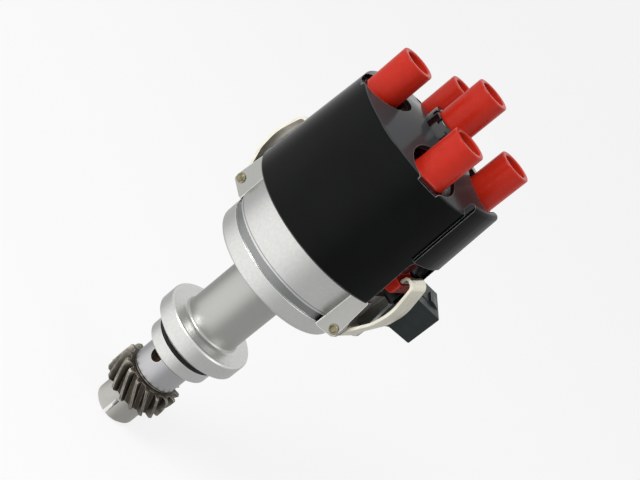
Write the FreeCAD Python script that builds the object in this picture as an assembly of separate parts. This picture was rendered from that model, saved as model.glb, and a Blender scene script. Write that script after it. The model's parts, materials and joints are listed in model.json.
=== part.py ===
import FreeCAD, Part

import math
import os

# Ignition distributor with a Hall sender, four cylinders, driven by a helical gear.
# Millimetres, +Z up. The origin is the centre of the collar's underside, which seats on the
# engine block. Angles are degrees from +X towards +Y.

# Running and seating clearances, breaks on edges, and how far a cutting tool reaches past a face
run_gap = 0.03
seat_gap = 0.02
free_gap = 0.3
edge_break = 0.6
fine_break = 0.4
overcut = 1.0

# Shaft and its bushes
shaft_r = 6.0
bush_wall = 2.0
upper_bush_len = 18.0
lower_bush_len = 18.0
rotor_seat_step = 0.6
rotor_flat_depth = 1.0

# Pilot, collar and neck of the cast housing
pilot_r = 17.05
pilot_len = 10.3
pilot_chamfer = 0.7
spigot_r = 12.0
spigot_len = 15.2
oil_hole_r = 3.2
oil_hole_az = -116.0
oil_hole_drop = 3.6
ring_section_r = 1.5
ring_proud = 0.4
ring_land = 0.5
collar_r = 23.3
collar_t = 11.5
collar_chamfer_w = 4.0
collar_chamfer_h = 2.9
collar_round = 1.5
relief_w = 0.85
relief_depth = 0.3
neck_r = 14.5
neck_len = 40.7
neck_foot_round = 1.6
neck_core_r = 9.4

# Bowl
bowl_h = 37.0
bowl_floor_t = 4.9
bowl_r = 34.5
bowl_wall = 4.9
bowl_step = 0.5
bowl_bottom_round = 1.9
bowl_floor_round = 2.0
groove_rise = 9.0
groove_h = 3.9
groove_depth = 1.3
shield_ledge_w = 1.4
shield_t = 1.4
shield_drop = 3.6
shield_hole_r = 10.5
shield_lip_w = 1.6
shield_lip_h = 1.0
seal_r = 11.0
seal_t = 4.0
seal_lip_w = 1.6
seal_lip_h = 1.2
seal_rim_w = 2.2
seal_dish = 1.8

# Hall plate and sensor
plate_post_r = 3.0
plate_post_h = 5.0
plate_post_inset = 4.1
plate_post_az = (110.0, 200.0, 290.0)
plate_t = 1.6
plate_hole_r = 12.5
screw_r = 1.5
screw_head_r = 2.7
screw_head_h = 1.9
screw_len = 5.4
screw_slot = 0.9
sensor_half_w = 6.6
sensor_inner_t = 4.9
sensor_base_h = 2.6
sensor_leg_t = 2.2
sensor_round = 0.8

# Vane wheel
vane_t = 1.0
vane_gap = 1.3
vane_head_gap = 1.9
vane_foot_gap = 3.4
vane_shield_gap = 1.4
vane_count = 4
vane_half_angle = 27.0
vane_hub_r = 9.2
vane_hub_len = 11.0
vane_hole_r = 3.0

# Shaft end stack and drive gear
washer_r = 11.4
washer_t = 0.7
washer_play = 0.3
gear_play = 0.3
gear_len = 13.2
gear_tip_r = 16.5
gear_root_r = 13.3
gear_teeth = 16
gear_helix = 29.0
gear_tip_chamfer = 0.7
tooth_tip_share = 0.20
tooth_root_share = 0.54
hub_r = 10.7
hub_len = 14.6
hub_chamfer = 1.8
slot_w = 1.8
slot_depth = 10.6
slot_offset = -1.8
slot_turn = 6.5
gear_pin_r = 1.1
gear_pin_drop = 1.5
shaft_end_inset = 0.3
shim_w = 3.4
shim_t = 0.5
clip_ring_t = 1.2
clip_ring_depth = 0.8
clip_ring_w = 2.6
clip_ring_gap = 3.0

# Sender connector
connector_az = 20.0
connector_w = 21.2
connector_rise = 2.8
connector_h = 17.6
connector_reach = 25.8
connector_wall = 2.0
connector_stand = 2.2
connector_droop = 0.4
socket_depth = 15.0
slant_rise = 12.0
slant_foot_reach = 3.0
slant_knee_inset = 12.0
slant_knee_drop = 1.0
sender_neck_w = 17.0
sender_neck_rise = 3.5
flange_w = 21.0
flange_reach = 4.0
flange_drop = 1.2
latch_w = 8.0
latch_len = 9.8
latch_h = 1.3
latch_inset = 1.2
latch_ramp = 3.3
latch_crest = 2.0
pin_count = 3
pin_pitch = 5.0
pin_w = 2.8
pin_t = 0.8
pin_rise = 4.5
pin_inset = 3.0
pin_taper = 0.25

# Spring clips and the ribs that carry them
clip_az = (-20.0, 160.0)
clip_stand = 5.0
clip_pivot_drop = 23.4
clip_pin_r = 1.5
clip_pin_end = 0.5
clip_t = 1.2
clip_w = 15.6
clip_tip_w = 13.6
clip_belly = 8.3
clip_belly_rise = 23.4
clip_arch = 4.0
clip_hook_lift = 0.4
clip_hook_inset = 1.3
clip_foot_run = 3.0
clip_foot_bend = 4.0
clip_lower_run = 9.5
clip_lower_pull = 1.2
clip_lower_bend = 12.0
clip_belly_bend = 25.0
clip_upper_run = 10.0
clip_upper_pull = 2.2
clip_upper_bend = 14.0
clip_crook_reach = 4.6
clip_crook_drop = 1.0
clip_crook_bend = 3.0
clip_hook_bend = 1.6
boss_rib_t = 3.2
boss_side_gap = 0.5
boss_shoulder_w = 2.4
boss_top_w = 0.6
boss_foot_drop = 5.6
boss_low_drop = 2.7
boss_high_rise = 2.5
boss_round = 1.5
boss_sink = 0.8

# Distributor cap with its five towers
cap_overhang = 1.1
cap_flare = 1.8
cap_skirt_t = 4.0
cap_h = 46.2
cap_crown_t = 7.0
cap_crown_round = 3.0
cap_crown_rise = 2.0
cap_spigot_depth = 2.0
cap_spigot_wall = 2.2
cap_neck_rise = 4.0
cap_flare_rise = 12.0
lug_reach = 5.7
lug_rise = 10.7
lug_h = 6.2
lug_half_w = 8.0
lug_fall = 0.5
lug_web = 1.5
tower_r = 8.0
tower_wall = 2.2
tower_inset = 7.6
tower_az = (-73.0, 17.0, 107.0, 197.0)
tower_h = 24.9
tower_depth = 21.0
tower_flare = 2.0
tower_flare_h = 5.0
tower_mouth = 0.8
centre_h = 38.4
centre_depth = 21.0
boss_r = 9.9
terminal_r = 3.6
terminal_hole_r = 1.6
terminal_hole_depth = 5.0
terminal_lap = 2.7
brush_r = 2.4
brush_len = 10.6
brush_play = 0.2
brush_boss_w = 3.0
brush_boss_h = 3.0
brush_cup_rise = 7.6
brush_contact_gap = 0.1
spring_wire_r = 0.3
spring_turns = 6

# Outer shroud
shroud_stand = 6.9
shroud_top_gap = 0.55
shroud_lap = 4.1
shroud_rise = 4.8
shroud_wall = 1.8
shroud_round = 1.0
shroud_cone_r = 10.6
shroud_cone_h = 6.9
shroud_hole_r = 11.6
shroud_hole_ring_r = 29.0
pad_proud = 1.4
pad_turn = -7.5
pad_half_angle = 14.5
pad_rise = 5.5
pad_top_w = 4.0
pad_round = 1.9
window_h = 27.2
window_w = 26.0
window_round = 4.0
window_turn = -1.5
connector_notch_gap = 1.2
retainer_h = 5.9
retainer_notch_count = 12
retainer_notch_w = 1.6
retainer_notch_h = 2.2
retainer_notch_depth = 1.1

# Rotor
rotor_hub_r = 9.5
rotor_base_r = 15.0
rotor_base_h = 3.0
rotor_shield_gap = 1.3
rotor_socket_h = 4.0
rotor_under_gap = 5.8
rotor_roof_t = 12.6
rotor_tail_r = 16.0
rotor_arm_w = 12.0
rotor_arm_t = 7.0
rotor_web_t = 2.4
electrode_t = 1.4
electrode_w = 7.0
electrode_pad = 4.2
electrode_gap = 0.8
electrode_proud = 1.8

# Heights that follow
bowl_bottom_z = collar_t + neck_len
bowl_rim_z = bowl_bottom_z + bowl_h
bowl_floor_z = bowl_bottom_z + bowl_floor_t
groove_z = bowl_bottom_z + groove_rise
ledge_z = bowl_rim_z - shield_drop
pilot_bottom_z = -pilot_len
spigot_bottom_z = pilot_bottom_z - spigot_len
oil_hole_z = pilot_bottom_z - oil_hole_drop
ring_centre_z = -ring_land - seat_gap - ring_section_r
ring_groove_low_z = ring_centre_z - ring_section_r - seat_gap
upper_bush_top_z = bowl_floor_z - seal_t
plate_low_z = bowl_floor_z + plate_post_h
plate_top_z = plate_low_z + plate_t
vane_top_z = ledge_z - vane_shield_gap
sensor_top_z = vane_top_z - vane_t - vane_head_gap
vane_low_z = plate_top_z + sensor_base_h + vane_foot_gap
washer_top_z = spigot_bottom_z - washer_play
gear_top_z = washer_top_z - washer_t - gear_play
gear_low_z = gear_top_z - gear_len
hub_low_z = gear_low_z - hub_len
gear_pin_z = gear_low_z - gear_pin_drop
shim_low_z = bowl_floor_z + free_gap
clip_ring_z = shim_low_z + shim_t + run_gap
connector_top_z = bowl_rim_z + connector_rise
connector_low_z = connector_top_z - connector_h
slant_foot_z = bowl_bottom_z + slant_rise
sender_neck_z = slant_foot_z + sender_neck_rise
pin_z = connector_low_z + pin_rise
lug_top_z = bowl_rim_z + lug_rise
lug_low_z = lug_top_z - lug_h
clip_pivot_z = bowl_rim_z - clip_pivot_drop
clip_belly_z = clip_pivot_z + clip_belly_rise
clip_top_z = lug_top_z + clip_arch
cap_crown_z = bowl_rim_z + cap_h
cap_under_z = cap_crown_z - cap_crown_t
tower_top_z = cap_crown_z + tower_h
tower_floor_z = tower_top_z - tower_depth
centre_top_z = cap_crown_z + centre_h
centre_floor_z = centre_top_z - centre_depth
brush_cup_z = cap_crown_z + brush_cup_rise
shroud_low_z = bowl_rim_z - shroud_lap
boss_top_z = shroud_low_z - free_gap
boss_low_z = clip_pivot_z - boss_foot_drop
shroud_edge_z = cap_crown_z + shroud_rise
shroud_cone_z = shroud_edge_z + shroud_cone_h
shroud_plate_z = shroud_cone_z - shroud_wall
pad_low_z = shroud_low_z + window_h
pad_top_z = shroud_edge_z + pad_rise
rotor_low_z = bowl_rim_z + rotor_shield_gap
rotor_seat_z = rotor_low_z + rotor_socket_h
rotor_top_z = cap_under_z - rotor_under_gap
shaft_top_z = rotor_top_z - rotor_roof_t
electrode_top_z = rotor_top_z + electrode_t
terminal_low_z = rotor_top_z - terminal_lap
brush_low_z = electrode_top_z + brush_contact_gap
brush_top_z = brush_low_z + brush_len

# Radii and half widths that follow
bush_r = shaft_r + run_gap + bush_wall
rotor_seat_r = shaft_r - rotor_seat_step
collar_base_r = collar_r - collar_chamfer_w
relief_r = pilot_r + relief_w
ring_groove_r = pilot_r + ring_proud - 2 * ring_section_r - seat_gap
ring_centre_r = ring_groove_r + seat_gap + ring_section_r
bowl_lower_r = bowl_r - bowl_step
bowl_inner_r = bowl_r - bowl_wall
ledge_r = bowl_inner_r + shield_ledge_w
plate_post_ring_r = bowl_inner_r - plate_post_inset
flange_in_r = bowl_inner_r - flange_reach
sensor_out_r = flange_in_r - free_gap
vane_r = sensor_out_r - sensor_leg_t - vane_gap
sensor_in_r = vane_r - vane_t - vane_gap - sensor_inner_t
connector_end_r = bowl_r + connector_reach
slant_foot_r = bowl_r + slant_foot_reach
clip_pivot_r = bowl_r + clip_stand
clip_belly_r = clip_pivot_r + clip_belly
pin_ring_r = clip_pin_r + run_gap
boss_out_r = clip_pivot_r + boss_shoulder_w
boss_top_r = clip_pivot_r + boss_top_w
boss_half_w = clip_w / 2 + boss_side_gap + boss_rib_t
cap_r = bowl_r + cap_overhang
cap_top_r = cap_r + cap_flare
tower_ring_r = cap_top_r - tower_inset
cap_spigot_r = ledge_r - free_gap / 2
lug_out_r = cap_r + lug_reach
clip_hook_r = lug_out_r - clip_hook_inset
tower_bore_r = tower_r - tower_wall
shroud_r = cap_r + shroud_stand
shroud_top_r = cap_top_r + shroud_top_gap + shroud_wall
rotor_electrode_r = tower_ring_r - terminal_r - electrode_gap
rotor_tip_r = rotor_electrode_r - electrode_proud


def vec(x, y, z=0.0):
    return FreeCAD.Vector(x, y, z)


def polar(r, az):
    return r * math.cos(math.radians(az)), r * math.sin(math.radians(az))


def turned(shape, az):
    copy = shape.copy()
    copy.rotate(vec(0, 0), vec(0, 0, 1), az)
    return copy


def corner_cut(before, corner, after, radius):
    """Start, middle and end of the arc that rounds a corner."""
    back = (before - corner).normalize()
    ahead = (after - corner).normalize()
    half = back.getAngle(ahead) / 2
    reach = radius / math.tan(half)
    centre = corner + (back + ahead).normalize() * (radius / math.sin(half))
    middle = centre + (corner - centre).normalize() * radius
    return corner + back * reach, middle, corner + ahead * reach


def outline(points, plane="rz"):
    """Closed wire through (a, b) or (a, b, round) corners, upright or lying flat."""
    flat = [vec(p[0], 0, p[1]) if plane == "rz" else vec(p[0], p[1]) for p in points]
    stretches = []
    for i, point in enumerate(points):
        corner = flat[i]
        if len(point) > 2 and point[2] > 0:
            stretches.append(corner_cut(flat[i - 1], corner, flat[(i + 1) % len(flat)], point[2]))
        else:
            stretches.append((corner, None, corner))
    edges = []
    for i, (start, middle, end) in enumerate(stretches):
        if middle:
            edges.append(Part.Arc(start, middle, end).toShape())
        following = stretches[(i + 1) % len(stretches)][0]
        if (following - end).Length > 1e-6:
            edges.append(Part.LineSegment(end, following).toShape())
    return Part.Wire(edges)


def revolved(points):
    return Part.Face(outline(points)).revolve(vec(0, 0), vec(0, 0, 1), 360)


def extruded_side(points, width):
    """Solid with an upright (r, z) outline, centred on the radial plane."""
    face = Part.Face(outline(points))
    face.translate(vec(0, -width / 2))
    return face.extrude(vec(0, width))


def cylinder(r, z0, z1, x=0.0, y=0.0):
    return Part.makeCylinder(r, z1 - z0, vec(x, y, z0))


def side_cylinder(r, width, x, z):
    """Cylinder along Y, centred on the radial plane."""
    return Part.makeCylinder(r, width, vec(x, -width / 2, z), vec(0, 1, 0))


def ring(r_out, r_in, z0, z1):
    return cylinder(r_out, z0, z1).cut(cylinder(r_in, z0 - overcut, z1 + overcut))


def block(x0, x1, width, z0, z1, y=0.0):
    return Part.makeBox(x1 - x0, width, z1 - z0, vec(x0, y - width / 2, z0))


def cross_hole(r, reach_in, reach_out, z):
    return Part.makeCylinder(r, reach_out - reach_in, vec(reach_in, 0, z), vec(1, 0, 0))


def sector(r_out, r_in, half_angle, z0, z1):
    """Part of a ring, centred on +X."""
    whole = Part.makeCylinder(r_out, z1 - z0, vec(0, 0, z0), vec(0, 0, 1), 2 * half_angle)
    return turned(whole, -half_angle).cut(cylinder(r_in, z0 - overcut, z1 + overcut))


def group(shapes):
    return Part.makeCompound(shapes)


def tower_places(ring_r):
    """Points on a circle, at the angles of the four outer towers."""
    return [polar(ring_r, az) for az in tower_az]


def housing_profile():
    bore = bush_r + seat_gap
    seal_bore = seal_r + seat_gap
    upper_low_z = upper_bush_top_z - upper_bush_len
    lower_top_z = spigot_bottom_z + lower_bush_len
    return [
        (bore, spigot_bottom_z), (spigot_r - edge_break, spigot_bottom_z),
        (spigot_r, spigot_bottom_z + edge_break), (spigot_r, pilot_bottom_z),
        (pilot_r - pilot_chamfer, pilot_bottom_z), (pilot_r, pilot_bottom_z + pilot_chamfer),
        (pilot_r, ring_groove_low_z), (ring_groove_r, ring_groove_low_z),
        (ring_groove_r, -ring_land), (pilot_r, -ring_land), (pilot_r, relief_depth),
        (relief_r, relief_depth), (relief_r, 0), (collar_base_r, 0), (collar_r, collar_chamfer_h),
        (collar_r, collar_t, collar_round), (neck_r, collar_t, neck_foot_round),
        (neck_r, bowl_bottom_z, neck_foot_round / 2),
        (bowl_lower_r, bowl_bottom_z, bowl_bottom_round), (bowl_lower_r, groove_z, fine_break),
        (bowl_r - groove_depth, groove_z), (bowl_r - groove_depth, groove_z + groove_h),
        (bowl_r, groove_z + groove_h, fine_break), (bowl_r, bowl_rim_z), (ledge_r, bowl_rim_z),
        (ledge_r, ledge_z), (bowl_inner_r, ledge_z), (bowl_inner_r, bowl_floor_z, bowl_floor_round),
        (seal_bore, bowl_floor_z), (seal_bore, upper_bush_top_z), (bore, upper_bush_top_z),
        (bore, upper_low_z), (neck_core_r, upper_low_z), (neck_core_r, lower_top_z), (bore, lower_top_z),
    ]


def clip_boss():
    """Pair of ribs with the clip's channel between them, on +X."""
    root_r = bowl_r - groove_depth - boss_sink
    side = [
        (root_r, boss_low_z), (bowl_lower_r, boss_low_z),
        (boss_out_r, clip_pivot_z - boss_low_drop, boss_round),
        (boss_out_r, clip_pivot_z + boss_high_rise, 2 * boss_round),
        (boss_top_r, boss_top_z, edge_break), (root_r, boss_top_z),
    ]
    body = extruded_side(side, 2 * boss_half_w)
    channel_r = clip_pivot_r - pin_ring_r - clip_t - 2 * free_gap
    channel = block(channel_r, boss_out_r + overcut, clip_w + 2 * boss_side_gap,
                    boss_low_z - overcut, boss_top_z + overcut)
    pin = side_cylinder(clip_pin_r + seat_gap, 4 * boss_half_w, clip_pivot_r, clip_pivot_z)
    return body.cut(channel).cut(pin)


def make_housing():
    body = revolved(housing_profile())
    for az in clip_az:
        body = body.fuse(turned(clip_boss(), az))
    for az in plate_post_az:
        x, y = polar(plate_post_ring_r, az)
        screw_hole = cylinder(screw_r + seat_gap, plate_top_z - screw_len - free_gap, plate_low_z + overcut, x, y)
        body = body.fuse(cylinder(plate_post_r, bowl_floor_z - overcut, plate_low_z, x, y)).cut(screw_hole)
    window = block(bowl_inner_r - 2 * overcut, bowl_r + boss_high_rise + overcut, sender_neck_w + 2 * seat_gap,
                   sender_neck_z - seat_gap, bowl_rim_z + overcut)
    oil_hole = cross_hole(oil_hole_r, bush_r - overcut, spigot_r + overcut, oil_hole_z)
    body = body.cut(turned(window, connector_az)).cut(turned(oil_hole, oil_hole_az))
    return body.removeSplitter()


def make_o_ring():
    return Part.makeTorus(ring_centre_r, ring_section_r, vec(0, 0, ring_centre_z))


def make_upper_bush():
    return ring(bush_r, shaft_r + run_gap, upper_bush_top_z - upper_bush_len, upper_bush_top_z - seat_gap)


def make_lower_bush():
    bush = ring(bush_r, shaft_r + run_gap, spigot_bottom_z, spigot_bottom_z + lower_bush_len)
    feed = cross_hole(oil_hole_r / 2, shaft_r - overcut, bush_r + overcut, oil_hole_z)
    return bush.cut(turned(feed, oil_hole_az))


def make_shaft_seal():
    """Cup seal in the bowl's floor, with its lip on the shaft."""
    lip_r = shaft_r + run_gap
    return revolved([
        (lip_r, upper_bush_top_z + seal_lip_h), (lip_r + seal_lip_w, upper_bush_top_z + seat_gap),
        (seal_r, upper_bush_top_z), (seal_r, bowl_floor_z, fine_break), (seal_r - seal_rim_w, bowl_floor_z),
        (lip_r + seal_rim_w, bowl_floor_z - seal_dish), (lip_r, bowl_floor_z - seal_dish),
    ])


def make_hall_plate():
    plate = ring(bowl_inner_r - free_gap, plate_hole_r, plate_low_z, plate_top_z)
    hole = cylinder(screw_r + seat_gap, plate_low_z - overcut, plate_top_z + overcut, plate_post_ring_r)
    for az in plate_post_az:
        plate = plate.cut(turned(hole, az))
    return plate


def make_plate_screws():
    top_z = plate_top_z + screw_head_h
    shank = cylinder(screw_r, plate_top_z - screw_len, plate_top_z, plate_post_ring_r)
    head = cylinder(screw_head_r, plate_top_z, top_z, plate_post_ring_r)
    slot = block(plate_post_ring_r - screw_head_r - overcut, plate_post_ring_r + screw_head_r + overcut,
                 screw_slot, top_z - screw_slot, top_z + overcut)
    screw = shank.fuse(head).cut(slot).removeSplitter()
    return group([turned(screw, az) for az in plate_post_az])


def make_hall_sensor():
    """Fork whose legs stand either side of the passing vanes."""
    fork = block(sensor_in_r, sensor_out_r, 2 * sensor_half_w, plate_top_z, sensor_top_z)
    slot = ring(vane_r + vane_gap, vane_r - vane_t - vane_gap, plate_top_z + sensor_base_h,
                sensor_top_z + overcut)
    fork = fork.cut(slot)
    height = sensor_top_z - plate_top_z
    uprights = [e for e in fork.Edges if abs(e.BoundBox.ZLength - height) < seat_gap and len(e.Vertexes) == 2
                and abs(e.Length - height) < seat_gap]
    return turned(fork.makeFillet(sensor_round, uprights), connector_az)


def connector_side():
    shoulder_r = bowl_r - overcut
    stand_r = bowl_r + connector_stand
    foot_z = connector_low_z - connector_droop
    rim_z = bowl_rim_z - fine_break
    return [
        (shoulder_r, slant_foot_z), (slant_foot_r, slant_foot_z, edge_break),
        (connector_end_r - slant_knee_inset, connector_low_z - slant_knee_drop, 2.0),
        (connector_end_r, foot_z, edge_break), (connector_end_r, connector_top_z, edge_break),
        (stand_r, connector_top_z, edge_break), (stand_r, rim_z), (shoulder_r, rim_z),
    ]


def connector_latch():
    """Ramp on top of the socket that the plug's loop snaps over."""
    out_r = connector_end_r - latch_inset
    crest_z = connector_top_z + latch_h
    root_z = connector_top_z - free_gap
    return extruded_side([
        (out_r - latch_len, root_z), (out_r, root_z), (out_r, connector_top_z + seal_lip_h / 6),
        (out_r - latch_ramp, crest_z), (out_r - latch_ramp - latch_crest, crest_z),
        (out_r - latch_ramp - latch_crest, connector_top_z + free_gap),
        (out_r - latch_len, connector_top_z + free_gap),
    ], latch_w)


def make_connector_housing():
    body = extruded_side(connector_side(), connector_w)
    body = body.cut(cylinder(bowl_r + seat_gap, slant_foot_z - overcut, connector_top_z + overcut))
    neck_top_z = ledge_z - free_gap
    neck = block(flange_in_r, bowl_r + connector_stand, sender_neck_w, sender_neck_z, neck_top_z)
    flange = block(flange_in_r, bowl_r, flange_w, sender_neck_z - flange_drop, neck_top_z)
    flange = flange.common(cylinder(bowl_inner_r - seat_gap, sender_neck_z - flange_drop, neck_top_z))
    socket = block(connector_end_r - socket_depth, connector_end_r + overcut, connector_w - 2 * connector_wall,
                   connector_low_z - connector_droop + connector_wall, connector_top_z - connector_wall)
    body = body.fuse(neck).fuse(flange).cut(socket).fuse(connector_latch())
    for y in pin_rows():
        body = body.cut(block(flange_in_r - overcut, connector_end_r - socket_depth + overcut,
                              pin_w + 2 * seat_gap, pin_z - seat_gap, pin_z + pin_t + seat_gap, y))
    return turned(body.removeSplitter(), connector_az)


def pin_rows():
    middle = (pin_count - 1) / 2
    return [(i - middle) * pin_pitch for i in range(pin_count)]


def make_connector_pins():
    tip_r = connector_end_r - pin_inset
    shoulder_r = tip_r - pin_t
    root_r = sensor_out_r + seat_gap
    pins = []
    for y in pin_rows():
        pin = extruded_side([
            (root_r, pin_z), (shoulder_r, pin_z), (tip_r, pin_z + pin_taper),
            (tip_r, pin_z + pin_t - pin_taper), (shoulder_r, pin_z + pin_t), (root_r, pin_z + pin_t),
        ], pin_w)
        pin.translate(vec(0, y))
        pins.append(turned(pin, connector_az))
    return group(pins)


def make_dust_shield():
    low_z = ledge_z + seat_gap
    top_z = low_z + shield_t
    disc = ring(ledge_r - free_gap / 2, shield_hole_r, low_z, top_z)
    lip = ring(shield_hole_r + shield_lip_w, shield_hole_r, low_z, top_z + shield_lip_h)
    return disc.fuse(lip).removeSplitter()


def cap_profile():
    inner_r = cap_r - cap_skirt_t
    brush_bore_r = brush_r + brush_play
    terminal_bore_r = terminal_r + seat_gap
    boss_low_z = cap_under_z - brush_boss_h
    plate_low_z = shroud_plate_z - seat_gap
    return [
        (cap_spigot_r - cap_spigot_wall, bowl_rim_z - cap_spigot_depth),
        (cap_spigot_r, bowl_rim_z - cap_spigot_depth), (cap_spigot_r, bowl_rim_z), (cap_r, bowl_rim_z),
        (cap_r, lug_top_z + cap_neck_rise), (cap_top_r, lug_top_z + cap_flare_rise, cap_crown_round),
        (cap_top_r, cap_crown_z, cap_crown_round), (boss_r, cap_crown_z + cap_crown_rise, neck_foot_round),
        (boss_r, plate_low_z, fine_break), (tower_r, plate_low_z), (tower_r, centre_top_z, edge_break),
        (tower_bore_r, centre_top_z, fine_break), (tower_bore_r, centre_floor_z),
        (terminal_bore_r, centre_floor_z), (terminal_bore_r, brush_cup_z), (brush_bore_r, brush_cup_z),
        (brush_bore_r, boss_low_z), (brush_r + brush_boss_w, boss_low_z, edge_break),
        (brush_r + brush_boss_w + edge_break, cap_under_z, 1.0), (inner_r, cap_under_z, cap_skirt_t),
        (inner_r, bowl_rim_z + 2 * cap_skirt_t, 2.0),
        (cap_spigot_r - cap_spigot_wall, bowl_rim_z + cap_spigot_depth),
    ]


def cap_tower(x, y):
    root_z = cap_crown_z - cap_crown_round
    tower = revolved([
        (0, root_z), (tower_r + tower_flare, root_z), (tower_r + tower_flare, cap_crown_z - fine_break, fine_break),
        (tower_r, cap_crown_z + tower_flare_h, 3 * tower_flare), (tower_r, tower_top_z, edge_break),
        (0, tower_top_z),
    ])
    tower.translate(vec(x, y))
    return tower


def cap_tower_bore(x, y):
    bore = revolved([
        (0, terminal_low_z - overcut), (terminal_r + seat_gap, terminal_low_z - overcut),
        (terminal_r + seat_gap, tower_floor_z), (tower_bore_r, tower_floor_z),
        (tower_bore_r, tower_top_z - fine_break), (tower_bore_r + tower_mouth, tower_top_z + fine_break),
        (0, tower_top_z + fine_break),
    ])
    bore.translate(vec(x, y))
    return bore


def cap_lug():
    """Ledge that a clip hooks over, with a web below it, on +X."""
    root_r = cap_r - lug_web
    return extruded_side([
        (root_r, lug_low_z - lug_web), (cap_r + fine_break, lug_low_z - lug_web),
        (lug_out_r, lug_low_z + fine_break, 2 * edge_break), (lug_out_r, lug_top_z - lug_fall, fine_break),
        (root_r, lug_top_z),
    ], 2 * lug_half_w)


def make_distributor_cap():
    body = revolved(cap_profile())
    outside = ring(2 * cap_top_r, cap_top_r, cap_crown_z - cap_h / 2, shroud_edge_z)
    for x, y in tower_places(tower_ring_r):
        body = body.fuse(cap_tower(x, y).cut(outside))
    for x, y in tower_places(tower_ring_r):
        body = body.cut(cap_tower_bore(x, y))
    for az in clip_az:
        body = body.fuse(turned(cap_lug(), az))
    return body.removeSplitter()


def terminal(floor_z, low_z, x=0.0, y=0.0):
    body = cylinder(terminal_r, low_z, floor_z, x, y)
    return body.cut(cylinder(terminal_hole_r, floor_z - terminal_hole_depth, floor_z + overcut, x, y))


def make_outer_terminals():
    return group([terminal(tower_floor_z, terminal_low_z, x, y) for x, y in tower_places(tower_ring_r)])


def make_centre_terminal():
    return terminal(centre_floor_z, brush_cup_z + seat_gap)


def make_carbon_brush():
    return revolved([
        (0, brush_low_z), (brush_r - edge_break, brush_low_z, fine_break), (brush_r, brush_low_z + 2 * edge_break),
        (brush_r, brush_top_z), (0, brush_top_z),
    ])


def make_brush_spring():
    low_z = brush_top_z + spring_wire_r + seat_gap
    height = brush_cup_z - spring_wire_r - low_z
    coil_r = brush_r - 1.5 * spring_wire_r
    path = Part.makeHelix(height / spring_turns, height, coil_r)
    path.translate(vec(0, 0, low_z))
    section = Part.Wire(Part.Circle(vec(coil_r, 0, low_z), vec(0, 1, 0), spring_wire_r).toShape())
    return Part.Wire(path.Edges).makePipeShell([section], True, True)


def shroud_wall_r(z):
    """Outer radius of the tapered wall at a height."""
    return shroud_r + (shroud_top_r - shroud_r) * (z - shroud_low_z) / (shroud_edge_z - shroud_low_z)


def shroud_wall_profile():
    plate_hole = tower_r + free_gap
    return [
        (shroud_r - shroud_wall, shroud_low_z), (shroud_r, shroud_low_z, fine_break),
        (shroud_top_r, shroud_edge_z, shroud_round), (shroud_cone_r, shroud_cone_z, edge_break),
        (plate_hole, shroud_cone_z), (plate_hole, shroud_plate_z), (boss_r + free_gap, shroud_plate_z),
        (shroud_top_r - shroud_wall, shroud_edge_z - shroud_wall, shroud_round),
    ]


def shroud_pad():
    """Raised pad over the right clip's window, standing above the cover's edge, on +X."""
    low_r = shroud_wall_r(pad_low_z) + pad_proud
    top_r = shroud_wall_r(pad_top_z) + pad_proud
    in_r = top_r - pad_top_w
    sunk_z = shroud_edge_z - shroud_wall / 2
    sunk_wall = shroud_wall / 6
    outer = revolved([(in_r, pad_low_z), (low_r, pad_low_z), (top_r, pad_top_z, pad_round),
                      (in_r, pad_top_z, pad_round)])
    hollow = revolved([
        (in_r - overcut, pad_low_z - overcut), (shroud_wall_r(pad_low_z - overcut) - sunk_wall, pad_low_z - overcut),
        (shroud_wall_r(sunk_z) - sunk_wall, sunk_z), (in_r - overcut, sunk_z),
    ])
    wedge = sector(2 * shroud_r, in_r - 2 * overcut, pad_half_angle, pad_low_z - overcut, pad_top_z + overcut)
    return outer.cut(hollow).common(wedge)


def clip_window():
    """Opening with round upper corners that a clip stands in, cut straight through on +X."""
    half_w = window_w / 2
    low_z = shroud_low_z - overcut
    face = Part.Face(outline([(-half_w, low_z), (-half_w, pad_low_z, window_round),
                              (half_w, pad_low_z, window_round), (half_w, low_z)]))
    face.translate(vec(0, cap_r))
    return turned(face.extrude(vec(0, shroud_r)), -90)


def make_cap_shroud():
    body = revolved(shroud_wall_profile()).fuse(turned(shroud_pad(), clip_az[0] + pad_turn))
    for az in clip_az:
        body = body.cut(turned(clip_window(), az + window_turn))
    for x, y in tower_places(shroud_hole_ring_r):
        body = body.cut(cylinder(shroud_hole_r, shroud_edge_z - shroud_wall, shroud_cone_z + overcut, x, y))
    notch = block(cap_r, 2 * shroud_r, connector_w + 2 * connector_notch_gap, shroud_low_z - overcut,
                  connector_top_z + connector_notch_gap)
    return body.cut(turned(notch, connector_az)).removeSplitter()


def make_shroud_retainer():
    """Push-on ring with a crown of notches."""
    low_z = shroud_cone_z + seat_gap
    top_z = low_z + retainer_h
    bore_r = tower_r + seat_gap
    body = revolved([
        (bore_r, low_z), (shroud_cone_r, low_z), (shroud_cone_r, top_z, edge_break),
        (bore_r + edge_break, top_z), (bore_r, top_z - edge_break),
    ])
    notch = block(shroud_cone_r - retainer_notch_depth, shroud_cone_r + overcut, retainer_notch_w,
                  top_z - retainer_notch_h, top_z + overcut)
    for i in range(retainer_notch_count):
        body = body.cut(turned(notch, i * 360.0 / retainer_notch_count))
    return body


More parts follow.
